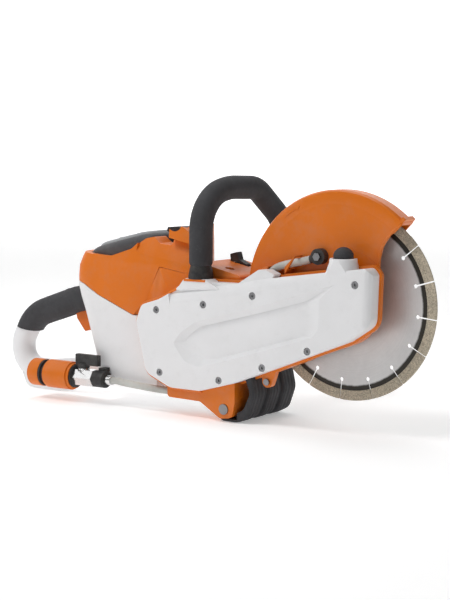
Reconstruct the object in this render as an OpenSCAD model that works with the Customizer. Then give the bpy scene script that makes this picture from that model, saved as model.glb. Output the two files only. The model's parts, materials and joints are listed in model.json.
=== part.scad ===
// Battery cut-off saw with a belt-driven diamond wheel on an arm, a turning guard,
// a loop handle, a rear D-handle and a water feed. Millimetres, +X forward, +Y left, +Z up.
// Shapes are placed around the wheel's axis at (0, 0) in X and Z, and place() then moves
// the whole saw so that it stands on Z = 0 with its box centred on X = Y = 0.

/* [Wheel] */
// Diameter of the cutting wheel
wheel_d = 230; // [190:1:280]
// Thickness of the wheel's steel core
wheel_core_t = 2; // [1.6:0.1:3]
// Thickness of the diamond segments
wheel_rim_t = 2.8; // [2.2:0.1:3.6]
// Height of the diamond segments along the radius
segment_h = 12; // [8:0.5:16]
// Number of diamond segments
segment_count = 16; // [12:1:24]
// Bore of the wheel
wheel_bore_d = 22.2; // [20:0.1:25.4]
// Free height under the wheel when the saw stands on its foot
wheel_clear = 35; // [25:1:50]

/* [Guard] */
// Gap between the wheel's edge and the outside of the guard, in front
guard_gap = 11.5; // [9:0.5:16]
// How far the guard's rim is shifted back and up from the wheel's axis
guard_shift = 8; // [4:0.5:10]
// Wall of the guard
guard_wall = 2.6; // [2:0.1:4]
// Distance of the guard's near wall from the wheel's plane
guard_near = 18; // [17:0.5:22]
// Distance of the guard's far edge from the wheel's plane
guard_far = 8; // [6:0.5:20]
// Angle of the guard's front end above the horizontal
guard_front_a = 46; // [30:1:60]
// Angle of the guard's rear end, measured the same way round
guard_rear_a = 206; // [180:1:215]

/* [Arm] */
// Width of the arm's frame
frame_w = 17.5; // [15:0.5:24]
// Depth of the belt cover
cover_w = 21; // [18:0.5:28]
// Wall of the frame and the belt cover
arm_wall = 3.2; // [2.5:0.1:4.5]
// Radius of the pulley on the wheel's shaft
wheel_pulley_r = 28; // [22:0.5:32]
// Radius of the pulley on the motor
motor_pulley_r = 16; // [13:0.5:20]
// Width of the pulleys
pulley_w = 15; // [12:0.5:18]
// Thickness of the drive belt
belt_t = 3; // [2:0.1:4]

/* [Body] */
// Outside half-width of the body, from its middle plane
body_half_w = 46; // [44:1:56]
// Wall of the body's casings
body_wall = 3; // [2.4:0.1:4]
// Radius of the motor
motor_r = 34; // [28:1:35]
// Length of the motor
motor_l = 56; // [45:1:60]

/* [Battery] */
// Length of the battery pack, front to back
battery_l = 112; // [100:1:118]
// Width of the battery pack
battery_w = 76; // [66:1:80]
// Height of the battery pack along its insertion way
battery_h = 104; // [80:1:106]
// Lean of the insertion way towards the rear
battery_lean = 14; // [10:1:16]

/* [Handles] */
// Outside diameter of the loop handle's rubber
loop_d = 29; // [25:0.5:34]
// Height of the loop handle's top above the wheel's axis
loop_top = 146; // [130:1:170]
// Distance between the loop handle's two legs
loop_span = 162; // [150:1:175]
// Outside diameter of the rear handle's tube
handle_d = 31; // [27:0.5:34]
// Rubber thickness on the rear handle
grip_t = 2.5; // [2:0.1:4]
// Distance from the body's front to the middle of the rear handle's upright
handle_reach = 394; // [380:1:430]

/* [Water] */
// Outside diameter of the hose coupling's sleeve
coupling_d = 37; // [33:0.5:40]
// Outside diameter of the water hoses
hose_d = 9.5; // [8:0.5:11]

/* [Hidden] */

$fn = 48;
eps = 0.01;
fit = 0.05;         // radial running clearance
gap = 0.4;          // clearance between moving bodies

// Planes along Y. The wheel runs in the plane Y = 0.
wheel_r = wheel_d / 2;
guard_r = wheel_r + guard_gap;
frame_y1 = -guard_near - 0.8;          // frame's face beside the guard
frame_y0 = frame_y1 - frame_w;           // joint between frame and belt cover
cover_y = frame_y0 - cover_w;            // outer face of the belt cover
pan_y = frame_y1 - 4;                    // floor of the frame's pan
body_y0 = -33;
body_mid = body_y0 + body_half_w;
body_y1 = body_mid + body_half_w;

// Datums in the XZ plane.
bx = -guard_r - 11.5;                     // front of the body, just behind the guard
ground = -(wheel_r + wheel_clear);
motor = [bx - 57, -50];
drive_c = norm(motor);
drive_a = atan2(motor[1], motor[0]);     // direction from the wheel's axis to the motor's
handle_y = 14;
handle_x = bx - handle_reach;
handle_r = handle_d / 2;

// Box of the whole saw, for the origin.
x_rear = handle_x - handle_r;
x_front = wheel_r;
valve_y = -45;
valve_z = -116;
y_right = valve_y - coupling_d / 2;
loop_right_y = -42;
loop_skew = 5.4;                         // the left leg stands a little further forward
loop_left_y = loop_right_y + loop_span * cos(loop_skew);
y_left = loop_left_y + loop_d / 2;

module place() translate([-(x_front + x_rear) / 2, -(y_left + y_right) / 2, -ground]) children();

// ---- Helpers ----

// Cylinder along Y from y0 to y1 around (x, z).
module rod_y(r, at, y0, y1) translate([at[0], y0, at[1]]) rotate([-90, 0, 0]) cylinder(r = r, h = y1 - y0);

// Ring along Y.
module ring_y(ro, ri, at, y0, y1) difference() {
    rod_y(ro, at, y0, y1);
    rod_y(ri, at, y0 - 1, y1 + 1);
}

// Cylinder along X from x0 to x1 around (y, z).
module rod_x(r, x0, x1, y, z) translate([x0, y, z]) rotate([0, 90, 0]) cylinder(r = r, h = x1 - x0);

// Ring along X.
module ring_x(ro, ri, x0, x1, y, z) difference() {
    rod_x(ro, x0, x1, y, z);
    rod_x(ri, x0 - 1, x1 + 1, y, z);
}

// Extrudes an XZ outline from y0 to y1.
module slab(y0, y1) translate([0, y1, 0]) rotate([90, 0, 0]) linear_extrude(y1 - y0) children();

function unit(v) = v / norm(v);

// Points of one rounded corner p = [x, z, r] between the corners a and b.
function corner(a, p, b) =
    let (
        c = [p[0], p[1]],
        u = unit([a[0], a[1]] - c),
        v = unit([b[0], b[1]] - c),
        r = len(p) > 2 ? p[2] : 0,
        half = acos(max(-1, min(1, u * v))) / 2,
        o = c + unit(u + v) * r / sin(half),
        s = c + u * r / tan(half) - o,
        e = c + v * r / tan(half) - o,
        a0 = atan2(s[1], s[0]),
        turn = atan2(s[0] * e[1] - s[1] * e[0], s * e),
        n = 6
    )
    r == 0 ? [c] : [for (i = [0:n]) o + r * [cos(a0 + turn * i / n), sin(a0 + turn * i / n)]];

// An outline whose corners [x, z, r] are rounded.
function rounded(pts) = [
    for (i = [0:len(pts) - 1])
        each corner(pts[(i + len(pts) - 1) % len(pts)], pts[i], pts[(i + 1) % len(pts)])
];

function arc(c, r, a0, a1, n = 24) = [
    for (i = [0:n]) c + r * [cos(a0 + (a1 - a0) * i / n), sin(a0 + (a1 - a0) * i / n)]
];

// Moves an outline given from the body's front to the wheel's datum.
function on_body(pts) = [for (p = pts) concat([p[0] + bx], [for (i = [1:len(p) - 1]) p[i]])];

// Points of an open path in the plane Y = 0 whose corners [x, z, r] are bent.
function bent(pts) = let (n = len(pts)) [
    [pts[0][0], 0, pts[0][1]],
    for (i = [1:n - 2]) each [for (q = corner(pts[i - 1], pts[i], pts[i + 1])) [q[0], 0, q[1]]],
    [pts[n - 1][0], 0, pts[n - 1][1]]
];

// A round bar along such a path.
module bent_bar(pts, r) swept_tube(bent(pts), r, 20);

// A tube swept along 3D points as one polyhedron with sides faces round it.
module swept_tube(pts, r, sides = 8) {
    n = len(pts);
    function dir(i) = unit(pts[min(n - 1, i + 1)] - pts[max(0, i - 1)]);
    up = [0.1, 1, 0.2];
    function ring(i) = let (
        d = dir(i),
        a = unit(cross(d, up)),
        b = cross(d, a)
    ) [for (k = [0:sides - 1]) pts[i] + r * (a * cos(360 * k / sides) + b * sin(360 * k / sides))];
    points = [for (i = [0:n - 1]) each ring(i)];
    walls = [for (i = [0:n - 2], k = [0:sides - 1]) [
        i * sides + k, (i + 1) * sides + k,
        (i + 1) * sides + (k + 1) % sides, i * sides + (k + 1) % sides
    ]];
    ends = [[for (k = [0:sides - 1]) k], [for (k = [sides - 1:-1:0]) (n - 1) * sides + k]];
    polyhedron(points = points, faces = concat(walls, ends));
}

// Points of a Catmull-Rom curve through pts, m steps to each stretch.
function smooth(pts, m = 4) = [
    for (i = [0:len(pts) - 2], s = [0:m - 1])
        let (
            t = s / m,
            p0 = pts[max(0, i - 1)],
            p1 = pts[i],
            p2 = pts[i + 1],
            p3 = pts[min(len(pts) - 1, i + 2)]
        )
        0.5 * (2 * p1 + (p2 - p0) * t + (2 * p0 - 5 * p1 + 4 * p2 - p3) * t * t
            + (3 * p1 - p0 - 3 * p2 + p3) * t * t * t),
    pts[len(pts) - 1]
];

// ---- Outlines shared by several pieces ----

front_h = 44;       // half height of the arm around the wheel's axis
nose_x = 56;        // front of the arm ahead of the wheel's axis

// Outline of the belt cover, clockwise from the rear top.
cover_outline = rounded(concat(
    on_body([[-139, -34, 10], [-130, -13, 10], [-104, -5, 12], [-54, 20, 8], [12, 20, 8]]),
    [
        [bx + 43, 39, 4], [bx + 54, 39, 4], [bx + 66, 34, 2], [bx + 62, 30, 2],
        [nose_x - 2, front_h + 4, 8], [nose_x + 4, front_h - 4, 6], [nose_x + 2, -18, 18],
        [26, -39, 24], [bx + 10, -100, 50]
    ],
    on_body([[-40, -114, 30], [-86, -114, 30], [-124, -98, 18]])
));

// Outline of the frame: a lip round the cover.
module frame_outline(d = lip) offset(delta = d) polygon(cover_outline);

lip = 3;
loop_x = bx - 48;
seat_z = 20 + lip;                       // top of the frame under the loop handle

// ---- Wheel and its shaft ----

flange_r = 34;
inner_flange_y0 = -6.6;
inner_flange_y1 = -wheel_core_t / 2;
shaft_r = 7.5;
bolt_r = 4;
bearing_ro = 16;
bearing_w = 9;
boss_r = 20;
boss_y1 = -7.2;                          // end of the bearing boss beside the wheel
boss_y0 = -31;
slot_r = 1.6;
slot_inner_r = wheel_r - segment_h - 12;

// Slots between the segments, each ending in a round hole.
module wheel_slots() for (i = [0:segment_count - 1]) rotate([0, 6 + i * 360 / segment_count, 0]) {
    translate([slot_inner_r, -5, -slot_r / 2]) cube([wheel_r, 10, slot_r]);
    rod_y(2.4, [slot_inner_r, 0], -5, 5);
}

module wheel_core() color("silver") difference() {
    rod_y(wheel_r - segment_h, [0, 0], -wheel_core_t / 2, wheel_core_t / 2);
    rod_y(wheel_bore_d / 2, [0, 0], -5, 5);
    wheel_slots();
}

module wheel_segments() color("tan") difference() {
    ring_y(wheel_r, wheel_r - segment_h, [0, 0], -wheel_rim_t / 2, wheel_rim_t / 2);
    wheel_slots();
}

pulley_y1 = boss_y0 - 1;
pulley_y0 = pulley_y1 - pulley_w;

module spindle() color("gray") difference() {
    union() {
        rod_y(shaft_r - fit, [0, 0], pulley_y0 - 5, inner_flange_y0);
        rod_y(6, [0, 0], inner_flange_y0, wheel_core_t / 2 + 1.5);
    }
    rod_y(bolt_r, [0, 0], -20, 10);
}

module spindle_bearings() color("lightgray") for (y0 = [boss_y0 + 1, boss_y1 - bearing_w - 0.6]) {
    difference() {
        rod_y(bearing_ro, [0, 0], y0, y0 + bearing_w);
        rod_y(shaft_r, [0, 0], y0 - 1, y0 + bearing_w + 1);
        for (s = [y0 - 1, y0 + bearing_w - 0.8]) ring_y(13, 10, [0, 0], s, s + 1.8);
    }
}

module inner_flange() color("dimgray") difference() {
    union() {
        rod_y(flange_r, [0, 0], inner_flange_y0 + 2, inner_flange_y1);
        rod_y(14, [0, 0], inner_flange_y0, inner_flange_y0 + 2);
        rod_y(wheel_bore_d / 2, [0, 0], inner_flange_y1, wheel_core_t / 2);
    }
    rod_y(6, [0, 0], -20, 10);
}

module outer_flange() color("dimgray") difference() {
    union() {
        rod_y(flange_r, [0, 0], wheel_core_t / 2, wheel_core_t / 2 + 4.5);
        rod_y(17, [0, 0], wheel_core_t / 2 + 4.5, wheel_core_t / 2 + 6);
    }
    rod_y(bolt_r, [0, 0], -20, 20);
    rod_y(6, [0, 0], 0, wheel_core_t / 2 + 1.5);
}

module clamp_bolt() color("darkgray") {
    y0 = wheel_core_t / 2 + 6;
    rod_y(bolt_r, [0, 0], -18, y0);
    rod_y(11, [0, 0], y0, y0 + 1.6);
    translate([0, y0 + 1.6, 0]) rotate([-90, 0, 0]) cylinder(r = 7.5, h = 6, $fn = 6);
}

// ---- Belt drive ----

// A ribbed pulley with two end flanges.
module pulley(r, at, bore) color("darkslategray") difference() {
    union() {
        rod_y(r, at, pulley_y0, pulley_y1);
        rod_y(r + 1.8, at, pulley_y0, pulley_y0 + 1.2);
        rod_y(r + 1.8, at, pulley_y1 - 1.2, pulley_y1);
    }
    rod_y(bore, at, pulley_y0 - 1, pulley_y1 + 1);
}

lock_ring_r = 27;
lock_pin = 1.6;

// The wheel's pulley carries a notched ring for the spindle lock.
module wheel_pulley() difference() {
    union() {
        pulley(wheel_pulley_r, [0, 0], shaft_r - fit);
        ring_y(lock_ring_r, shaft_r - fit, [0, 0], pulley_y0 - 3.5, pulley_y0);
    }
    for (a = [0:60:300]) rotate([0, a, 0]) rod_y(4, [16, 0], pulley_y0 - 5, pulley_y1 + 1);
    for (a = [0:45:315]) rotate([0, a, 0]) translate([-lock_pin - 0.6, pulley_y0 - 5, lock_ring_r - 6])
        cube([2 * lock_pin + 1.2, 4.8, 10]);
}

module motor_pulley() pulley(motor_pulley_r, motor, 6);

belt_gap = 0.3;
belt_y0 = pulley_y0 + 1.6;
belt_y1 = pulley_y1 - 1.6;

// Belt outline: the long way round the wheel's pulley, then the short way round the motor's.
function belt_loop(d) =
    let (
        r1 = wheel_pulley_r + d,
        r2 = motor_pulley_r + d,
        lean = acos((r1 - r2) / drive_c)
    )
    concat(
        arc([0, 0], r1, drive_a + lean, drive_a + 360 - lean, 40),
        arc(motor, r2, drive_a - lean, drive_a + lean, 24)
    );

module drive_belt() color("black") slab(belt_y0, belt_y1) difference() {
    polygon(belt_loop(belt_gap + belt_t));
    polygon(belt_loop(belt_gap));
}

idler_r = 9;
idler_way = 0.52;                        // share of the way from the wheel's axis to the motor's

// The idler touches the lower run of the belt from inside.
idler = let (
        lean = acos((wheel_pulley_r - motor_pulley_r) / drive_c),
        n = [cos(drive_a + lean), sin(drive_a + lean)],
        p = motor * idler_way,
        r = wheel_pulley_r + (motor_pulley_r - wheel_pulley_r) * idler_way
    )
    p + n * (r - idler_r);

module belt_idler() color("gray") ring_y(idler_r, 4 + fit, idler, belt_y0 + 0.5, belt_y1 - 0.5);

module idler_pin() color("silver") {
    rod_y(4, idler, belt_y0 - 1.5, pan_y);
    rod_y(6, idler, belt_y0 - 3, belt_y0 - 1.5);
    rod_y(6.5, idler, belt_y1, pan_y);
}

// ---- Arm ----

cover_screw_r = 2;
screw_head_r = 4.2;

// Places of the belt cover's screws.
cover_screws_at = concat(
    [[40, 29], [-23, -52]],
    [for (p = [[-106, -18], [-34, -7], [38, 8], [-101, -96], [-11, -98], [52, -77]]) [bx + p[0], p[1]]]
);

ear_at = [bx - 8, ground + 16];
front_ear_at = [bx + 46, -97];
ear_r = 12;
lip_y0 = frame_y0 - 14;

// Web under the cover that takes the water hose and carries the foot's near end.
ear_outline = rounded(concat(
    on_body([[-94, -100], [-94, -127, 4], [-44, -128, 8]]),
    [[ear_at[0] - 6, ear_at[1] - ear_r, 8], [ear_at[0] + ear_r, ear_at[1] - ear_r + 2, 9],
        [ear_at[0] + ear_r + 4, ear_at[1] + 10, 6]],
    on_body([[8, -98]])
));

lip_hose = [lip_y0 + 7, -120.6];         // y and z of the hose in the lip
riser_x = bx - 70;

shelf_x = 45;                            // the frame is shallow ahead of this
shelf_y = frame_y0 + 5.4;

// The frame's outline without the shallow nose.
module deep_outline(d) intersection() {
    frame_outline(d);
    translate([-500, -300]) square([500 + shelf_x + d - lip, 600]);
}

module arm_frame() color("darkorange") difference() {
    union() {
        slab(frame_y0, shelf_y) frame_outline();
        slab(frame_y0, frame_y1) deep_outline(lip);
        slab(lip_y0, frame_y1) difference() {
            polygon(ear_outline);
            offset(delta = 0.2) polygon(cover_outline);
        }
        slab(frame_y0, frame_y0 + 8) difference() {
            hull() {
                translate(front_ear_at) circle(r = 7);
                translate(front_ear_at + [4, 26]) circle(r = 12);
            }
            polygon(cover_outline);
        }
        slab(cover_y + 1, frame_y0) translate([loop_x - 16, seat_z - lip + 0.2]) square([32, lip - 0.2]);
        rod_y(boss_r, [0, 0], frame_y1, boss_y1);
    }
    difference() {
        union() {
            slab(frame_y0 - 1, shelf_y - 3.2) offset(delta = -arm_wall) polygon(cover_outline);
            slab(frame_y0 - 1, pan_y) deep_outline(-arm_wall);
        }
        rod_y(boss_r, [0, 0], boss_y0, 0);
        for (p = cover_screws_at) rod_y(4.6, p, frame_y0 - 2, pan_y + 1);
    }
    rod_y(bearing_ro, [0, 0], boss_y0 - 1, boss_y1 - 0.6);
    rod_y(bearing_ro - 3, [0, 0], boss_y1 - 1, boss_y1 + 1);
    rod_y(13, motor, frame_y0 - 2, frame_y1 + 1);
    for (p = cover_screws_at) rod_y(cover_screw_r, p, frame_y0 - 2, shelf_y - 2);
    rod_y(4, ear_at, frame_y0 - 20, frame_y1 + 1);
    rod_y(6.5, ear_at, lip_y0 - 1, lip_y0 + 2);
    battery_space();
    rod_y(2.5, front_ear_at, frame_y0 - 1, frame_y0 + 9);
    outlet() cylinder(r = hose_r + 1.6, h = 54);
    translate([bx + 46, frame_y0 - 1, 33]) cube([24, 14.5, 20]);
    translate([bx + 68.8, -33.2, 39.5]) cube([14.4, 13.5, 14.7]);
    rod_x(hose_r, bx - 120, riser_x, lip_hose[0], lip_hose[1]);
    riser();
    button_bore();
    // The hose's banjo passes here as the guard turns.
    ring_y(75, 51, [0, 0], banjo_y - 5.5, frame_y1 + 1);
}

// Water way from the lip up into the arm.
module riser() translate([riser_x, lip_hose[0], lip_hose[1]]) cylinder(r = hose_r, h = 22);

// Axis of the hose where it leaves the arm's top.
module outlet() translate([bx + 26, arm_hose_y, 19.5]) rotate([0, 54, 0]) children();

button_at = [15, frame_y0 - 4];          // x and y of the spindle lock button's axis
button_r = 11.7;
collar_r = 16;
collar_z = 56;
button_travel = 6;
lock_pin_r = 4;

module button_bore() translate([button_at[0], button_at[1], 20]) cylinder(r = 9, h = 60);

module belt_cover() color("white") difference() {
    union() {
        slab(cover_y + 3, frame_y0) polygon(cover_outline);
        slab(cover_y, cover_y + 3) offset(delta = -3) polygon(cover_outline);
        intersection() {
            translate([button_at[0], button_at[1], 20]) cylinder(r1 = collar_r + 12, r2 = collar_r, h = collar_z - 20);
            translate([-200, cover_y + 1, 0]) cube([400, banjo_y - 6 - cover_y - 1, 200]);
        }
    }
    difference() {
        slab(cover_y + arm_wall, frame_y0 + 1) offset(delta = -arm_wall) polygon(cover_outline);
        for (p = cover_screws_at) rod_y(5.6, p, cover_y, frame_y0 + 2);
        translate([button_at[0], button_at[1], 44.4]) cylinder(r = 10, h = 60);
    }
    for (p = cover_screws_at) {
        rod_y(cover_screw_r + 0.2, p, cover_y - 1, frame_y0 + 1);
        rod_y(screw_head_r + 0.8, p, cover_y - 1, cover_y + 3.5);
    }
    slab(cover_y - 1, cover_y + 1.6) polygon(rounded(concat(
        on_body([[-74, -57, 6], [-44, -28, 20]]),
        [[-6, 17, 6], [-12, -32, 10]],
        on_body([[18, -70, 20], [-46, -78, 14]])
    )));
    translate([button_at[0], button_at[1], 0]) {
        translate([0, 0, collar_z - 8]) cylinder(r = button_r + 1, h = 30);
        cylinder(r = lock_pin_r + fit, h = 90);
    }
    // Room for the button's offset foot to move down.
    translate([-4.5, pin_y - 3.2, 32]) cube([31, 18, 13]);
    slab(frame_y0, frame_y1) frame_outline(lip + 0.2);
    translate([riser_x, lip_hose[0], -118]) cylinder(r = hose_r, h = 22);
}

module cover_screws() color("dimgray") for (p = cover_screws_at) difference() {
    union() {
        rod_y(screw_head_r, p, cover_y + 1.2, cover_y + 3.5);
        rod_y(cover_screw_r - fit, p, cover_y + 3.5, shelf_y - 2.5);
    }
    translate([p[0], cover_y, p[1]]) rotate([-90, 0, 0]) cylinder(r = 2, h = 2.8, $fn = 6);
}

// ---- Guard ----

ring_ri = boss_r + 0.3;
ring_ro = boss_r + 9;

guard_c = [-guard_shift, guard_shift];   // middle of the guard's rim

// A sector of the guard between two radii, as an XZ outline.
function sector(r0, r1, a0, a1) = concat(arc(guard_c, r1, a0, a1, 48), arc(guard_c, r0, a1, a0, 40));

// Near wall: runs down past the hub, with a curved front edge.
near_wall = concat(
    arc(guard_c, guard_r - 1.2, guard_front_a, guard_rear_a, 60),
    [[-28, -46], [-2, -51], [28, -37], [42, -20], [47, 2], [49, 30], [50, 56], [54, 71], [64, 85]]
);
far_skirt = 34;

module guard_shell() color("darkorange") difference() {
    union() {
        slab(-guard_near, -guard_near + guard_wall) polygon(near_wall);
        slab(guard_far - guard_wall, guard_far)
            polygon(sector(guard_r - far_skirt, guard_r - 1.2, guard_front_a, guard_rear_a));
        slab(-guard_near, guard_far)
            polygon(sector(guard_r - guard_wall, guard_r, guard_front_a, guard_rear_a));
        slab(-guard_near + 0.5, guard_far - 0.5)
            polygon(sector(guard_r - guard_wall + 1, guard_r + 4, guard_front_a + 0.4, guard_front_a + 3));
        rod_y(ring_ro, [0, 0], -guard_near + guard_wall - 1, -guard_near + guard_wall + 3);
    }
    rod_y(ring_ri, [0, 0], -30, 0);
    rod_y(3.2, banjo_at, -30, 0);
}

module guard_bearing_ring() color("black") ring_y(ring_ri + 4.5, boss_r + fit,
    [0, 0], -guard_near + guard_wall + 3, boss_y1 - 1);

banjo_at = [-28, 56];
banjo_y = -guard_near - 4.8;

// Two jets, one on each side of the wheel, and the inlet behind the banjo.
module spray_nozzles() color("black") {
    rod_y(4, [-56, 88], -guard_near + guard_wall, -guard_near + guard_wall + 6);
    rod_y(4, [-56, 88], guard_far - guard_wall - 2.6, guard_far - guard_wall);
    rod_y(5, banjo_at, -guard_near + guard_wall, -guard_near + guard_wall + 5);
}

module hose_banjo() color("black") difference() {
    union() {
        rod_y(9.5, banjo_at, banjo_y - 4.7, -guard_near);
        translate([banjo_at[0], banjo_y, banjo_at[1]]) rotate([0, -108, 0]) cylinder(r = 4.7, h = 14);
    }
    rod_y(3.2, banjo_at, -40, 0);
}

module banjo_bolt() color("silver") {
    rod_y(3.2, banjo_at, banjo_y - 4.7, -guard_near + guard_wall);
    translate([banjo_at[0], banjo_y - 7.7, banjo_at[1]]) rotate([-90, 0, 0]) cylinder(r = 5, h = 3, $fn = 6);
}

// ---- Water hose in the arm ----

hose_r = hose_d / 2;
arm_hose_y = pan_y - hose_r - 2;
// Route up the rear of the arm, over the belt and out at the top to the guard.
water_route = [
    [riser_x, lip_hose[0], lip_hose[1] + 8], [riser_x, lip_hose[0], -104], [riser_x - 4, arm_hose_y - 6, -94],
    [bx - 92, arm_hose_y, -86], [bx - 110, arm_hose_y, -72], [bx - 117, arm_hose_y, -53],
    [bx - 112, arm_hose_y, -36], [bx - 96, arm_hose_y, -24], [bx - 74, arm_hose_y, -9],
    [bx - 50, arm_hose_y, 8], [bx - 20, arm_hose_y, 9], [bx + 8, arm_hose_y, 9],
    [bx + 26, arm_hose_y, 18], [bx + 42, arm_hose_y, 31], [bx + 56, arm_hose_y, 41],
    [bx + 72, arm_hose_y + 2, 46], [bx + 86, banjo_y - 1, 49], [banjo_at[0] - 13.9, banjo_y, 51.4]
];

module water_hose() color("lightgray") swept_tube(smooth(water_route, 3), hose_r, 10);

// ---- Spindle lock ----

button_z = collar_z + 1;
pin_y = pulley_y0 - 2.2;                 // plane of the lock pin, beside the pulley
pin_rest = lock_ring_r + 1.2;

module spindle_lock_button() color("dimgray") {
    translate([button_at[0], button_at[1], 0]) {
        translate([0, 0, button_z]) cylinder(r = button_r, h = 5);
        translate([0, 0, button_z + 5]) intersection() {
            translate([0, 0, -4.2]) sphere(r = 12.4);
            cylinder(r = button_r, h = 20);
        }
        translate([0, 0, wheel_pulley_r + belt_t + 9]) cylinder(r = lock_pin_r, h = button_z - wheel_pulley_r - belt_t - 9);
    }
    // Offset foot that carries the pin beside the pulley.
    translate([-2, pin_y - 1.5, wheel_pulley_r + belt_t + 9]) cube([button_at[0] + 2, button_at[1] - pin_y + 1.5, 4]);
    translate([0, pin_y, pin_rest]) cylinder(r = lock_pin - 0.1, h = wheel_pulley_r + belt_t + 11 - pin_rest);
}

module lock_spring() color("silver") {
    turns = 3;
    steps = 12;
    z0 = collar_z - 7.2;
    swept_tube([for (i = [0:turns * steps]) [
        button_at[0] + 7 * cos(360 * i / steps),
        button_at[1] + 7 * sin(360 * i / steps),
        z0 + (button_z - z0 - 1.1) * i / (turns * steps)
    ]], 0.7, 6);
}

// ---- Guard lock ----

lever_at = [bx - 48, 37];
lever_y = 38;

module guard_lock_lever() color("black") difference() {
    union() {
        slab(lever_y - 5, lever_y + 5) polygon(rounded([
            for (p = [[-7, -2, 2], [-9, 11, 1], [2, 14, 1], [5, 4, 2], [16, -1, 1], [15, -5, 1]])
                [lever_at[0] + p[0], lever_at[1] + p[1], p[2]]
        ]));
        rod_y(5, lever_at, lever_y - 5, lever_y + 5);
    }
    rod_y(2 + fit, lever_at, 0, 80);
}

module guard_lever_pin() color("silver") rod_y(2, lever_at, lever_y - 9, lever_y + 9);

// ---- Body casings ----

step_x = bx - 67;                        // the casing is full width behind this
deck_y0 = -26;
plan_r = 33;                             // rounding of the body's corners in plan

white_outline = rounded(on_body([
    [-266, -1], [-254, -32, 40], [-236, -90, 50], [-230, -122, 14], [-10, -122, 8],
    [-1, -108, 4], [-1, -26], [-162, -31], [-220, -8], [-245, 3]
]));

// Space that the arm takes beside and below its frame.
module arm_pocket() {
    slab(body_y0 - 1, frame_y1) frame_outline(lip + 0.2);
    slab(body_y0 - 1, frame_y1) translate([bx - 124, -200]) square([200, 140]);
    slab(body_y0 - 1, frame_y1) translate([bx - 54, -200]) square([200, 200 + seat_z]);
}

// Plan outline of the body, inset by d.
module plan(d = 0) union() {
    intersection() {
        translate([bx - 266 + d, body_y0 + d]) offset(r = plan_r - d)
            translate([plan_r - d, plan_r - d]) square([300, 2 * (body_half_w - plan_r)]);
        translate([bx - 300, -200]) square([300 - 67 - d, 400]);
    }
    polygon([
        [step_x - d - 0.01, deck_y0 + d], [bx - d, deck_y0 + d], [bx - d, 24 - d],
        [bx - 20 - d, body_y1 - d], [step_x - d - 0.01, body_y1 - d]
    ]);
}

module body_space(d = 0) difference() {
    translate([0, 0, -200]) linear_extrude(400) plan(d);
    if (d == 0) arm_pocket();
}

// Plan outline behind the battery casing's slanting front.
module hump_plan(d) polygon([
    [bx - 400, -200], [step_x - 2 - d, -200], [step_x - 2 - d, -4], [step_x - 40 - d, 70], [bx - 400, 70]
]);

// A casing over an outline, hollow inside, between two planes.
module casing(y0, y1, outline, hump = false) difference() {
    intersection() {
        slab(y0, y1) polygon(outline);
        body_space();
        if (hump) translate([0, 0, -200]) linear_extrude(400) hump_plan(0);
    }
    difference() {
        intersection() {
            slab(y0 - 1, y1 + 1) offset(delta = -body_wall) polygon(outline);
            translate([0, 0, -200]) linear_extrude(400) plan(body_wall);
            if (hump) translate([0, 0, -200]) linear_extrude(400) hump_plan(body_wall);
        }
        slab(body_y0 - 2, frame_y1 + body_wall) frame_outline(lip + body_wall);
        slab(body_y0 - 2, frame_y1 + body_wall) translate([bx - 127, -200]) square([200, 143]);
        slab(body_y0 - 2, frame_y1 + body_wall) translate([bx - 57, -200]) square([200, 203 + seat_z]);
    }
}

module motor_space() rod_y(motor_r + 1, motor, frame_y1 - 1, body_y1 - body_wall - 1);

vent_count = 7;

module housing_right() color("whitesmoke") difference() {
    casing(body_y0, body_mid, white_outline);
    motor_space();
    handle_socket();
    battery_space();
    hose_clip_hole();
}

module housing_left() color("whitesmoke") difference() {
    casing(body_mid, body_y1, white_outline);
    handle_socket();
    battery_space();
    motor_space();
    for (i = [0:vent_count - 1]) translate([motor[0] - 27 + i * 8, body_y1 - 10, motor[1] - 24])
        cube([4, 20, 48]);
    for (p = housing_screws_at) rod_y(2, p, body_y1 - 12, body_y1 + 1);
    slab(foot_y1 - 6.2, foot_y1 + 20) translate([ear_at[0] - 16, ground]) square([60, 16 + ear_r + 4]);
}

housing_screws_at = [for (p = [[-190, -108], [-40, -112], [-150, -44]]) [bx + p[0], p[1]]];

module housing_screws() color("dimgray") for (p = housing_screws_at) {
    rod_y(2, p, body_y1 - 12, body_y1);
    rod_y(4, p, body_y1, body_y1 + 1.8);
}

casing_outline = rounded(on_body([
    [-266, 0], [-264, 29, 20], [-250, 46, 8], [-199, 42, 20], [-164, 54, 20], [-132, 73, 5], [-122, 67, 3],
    [-103, 71, 2], [-103, 82, 3], [-86, 86, 8], [-73, 79, 6], [-66, 54, 4], [-66, 31],
    [-76, 27, 3], [-120, 33, 2], [-141, -10, 2], [-162, -30], [-220, -7], [-245, 4]
]));

deck_outline = rounded(on_body([
    [-119, 32.6, 2], [-76, 26.6, 3], [-65.8, 30.8], [-65.5, 41, 2], [-58, 40, 3], [0, 27, 5],
    [-1, -24], [-161, -29.6], [-140.8, -10.2, 2]
]));

// Frame of the battery: origin at the middle of its top face, Z along the way out.
battery_at = [bx - 192, 63];
module battery_frame() translate([battery_at[0], body_mid, battery_at[1]]) rotate([0, -battery_lean, 0]) children();

module block(l, w, z0, z1, r = 8) translate([0, 0, z0]) linear_extrude(z1 - z0)
    offset(r = r, $fn = 24) square([l - 2 * r, w - 2 * r], center = true);

module battery_space() battery_frame() block(battery_l + 2, battery_w + 2, -battery_h - 1, 200);

module battery_casing() color("darkorange") difference() {
    casing(body_y0, body_y1, casing_outline, true);
    battery_space();
    handle_socket();
    latch_slot();
}

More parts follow.
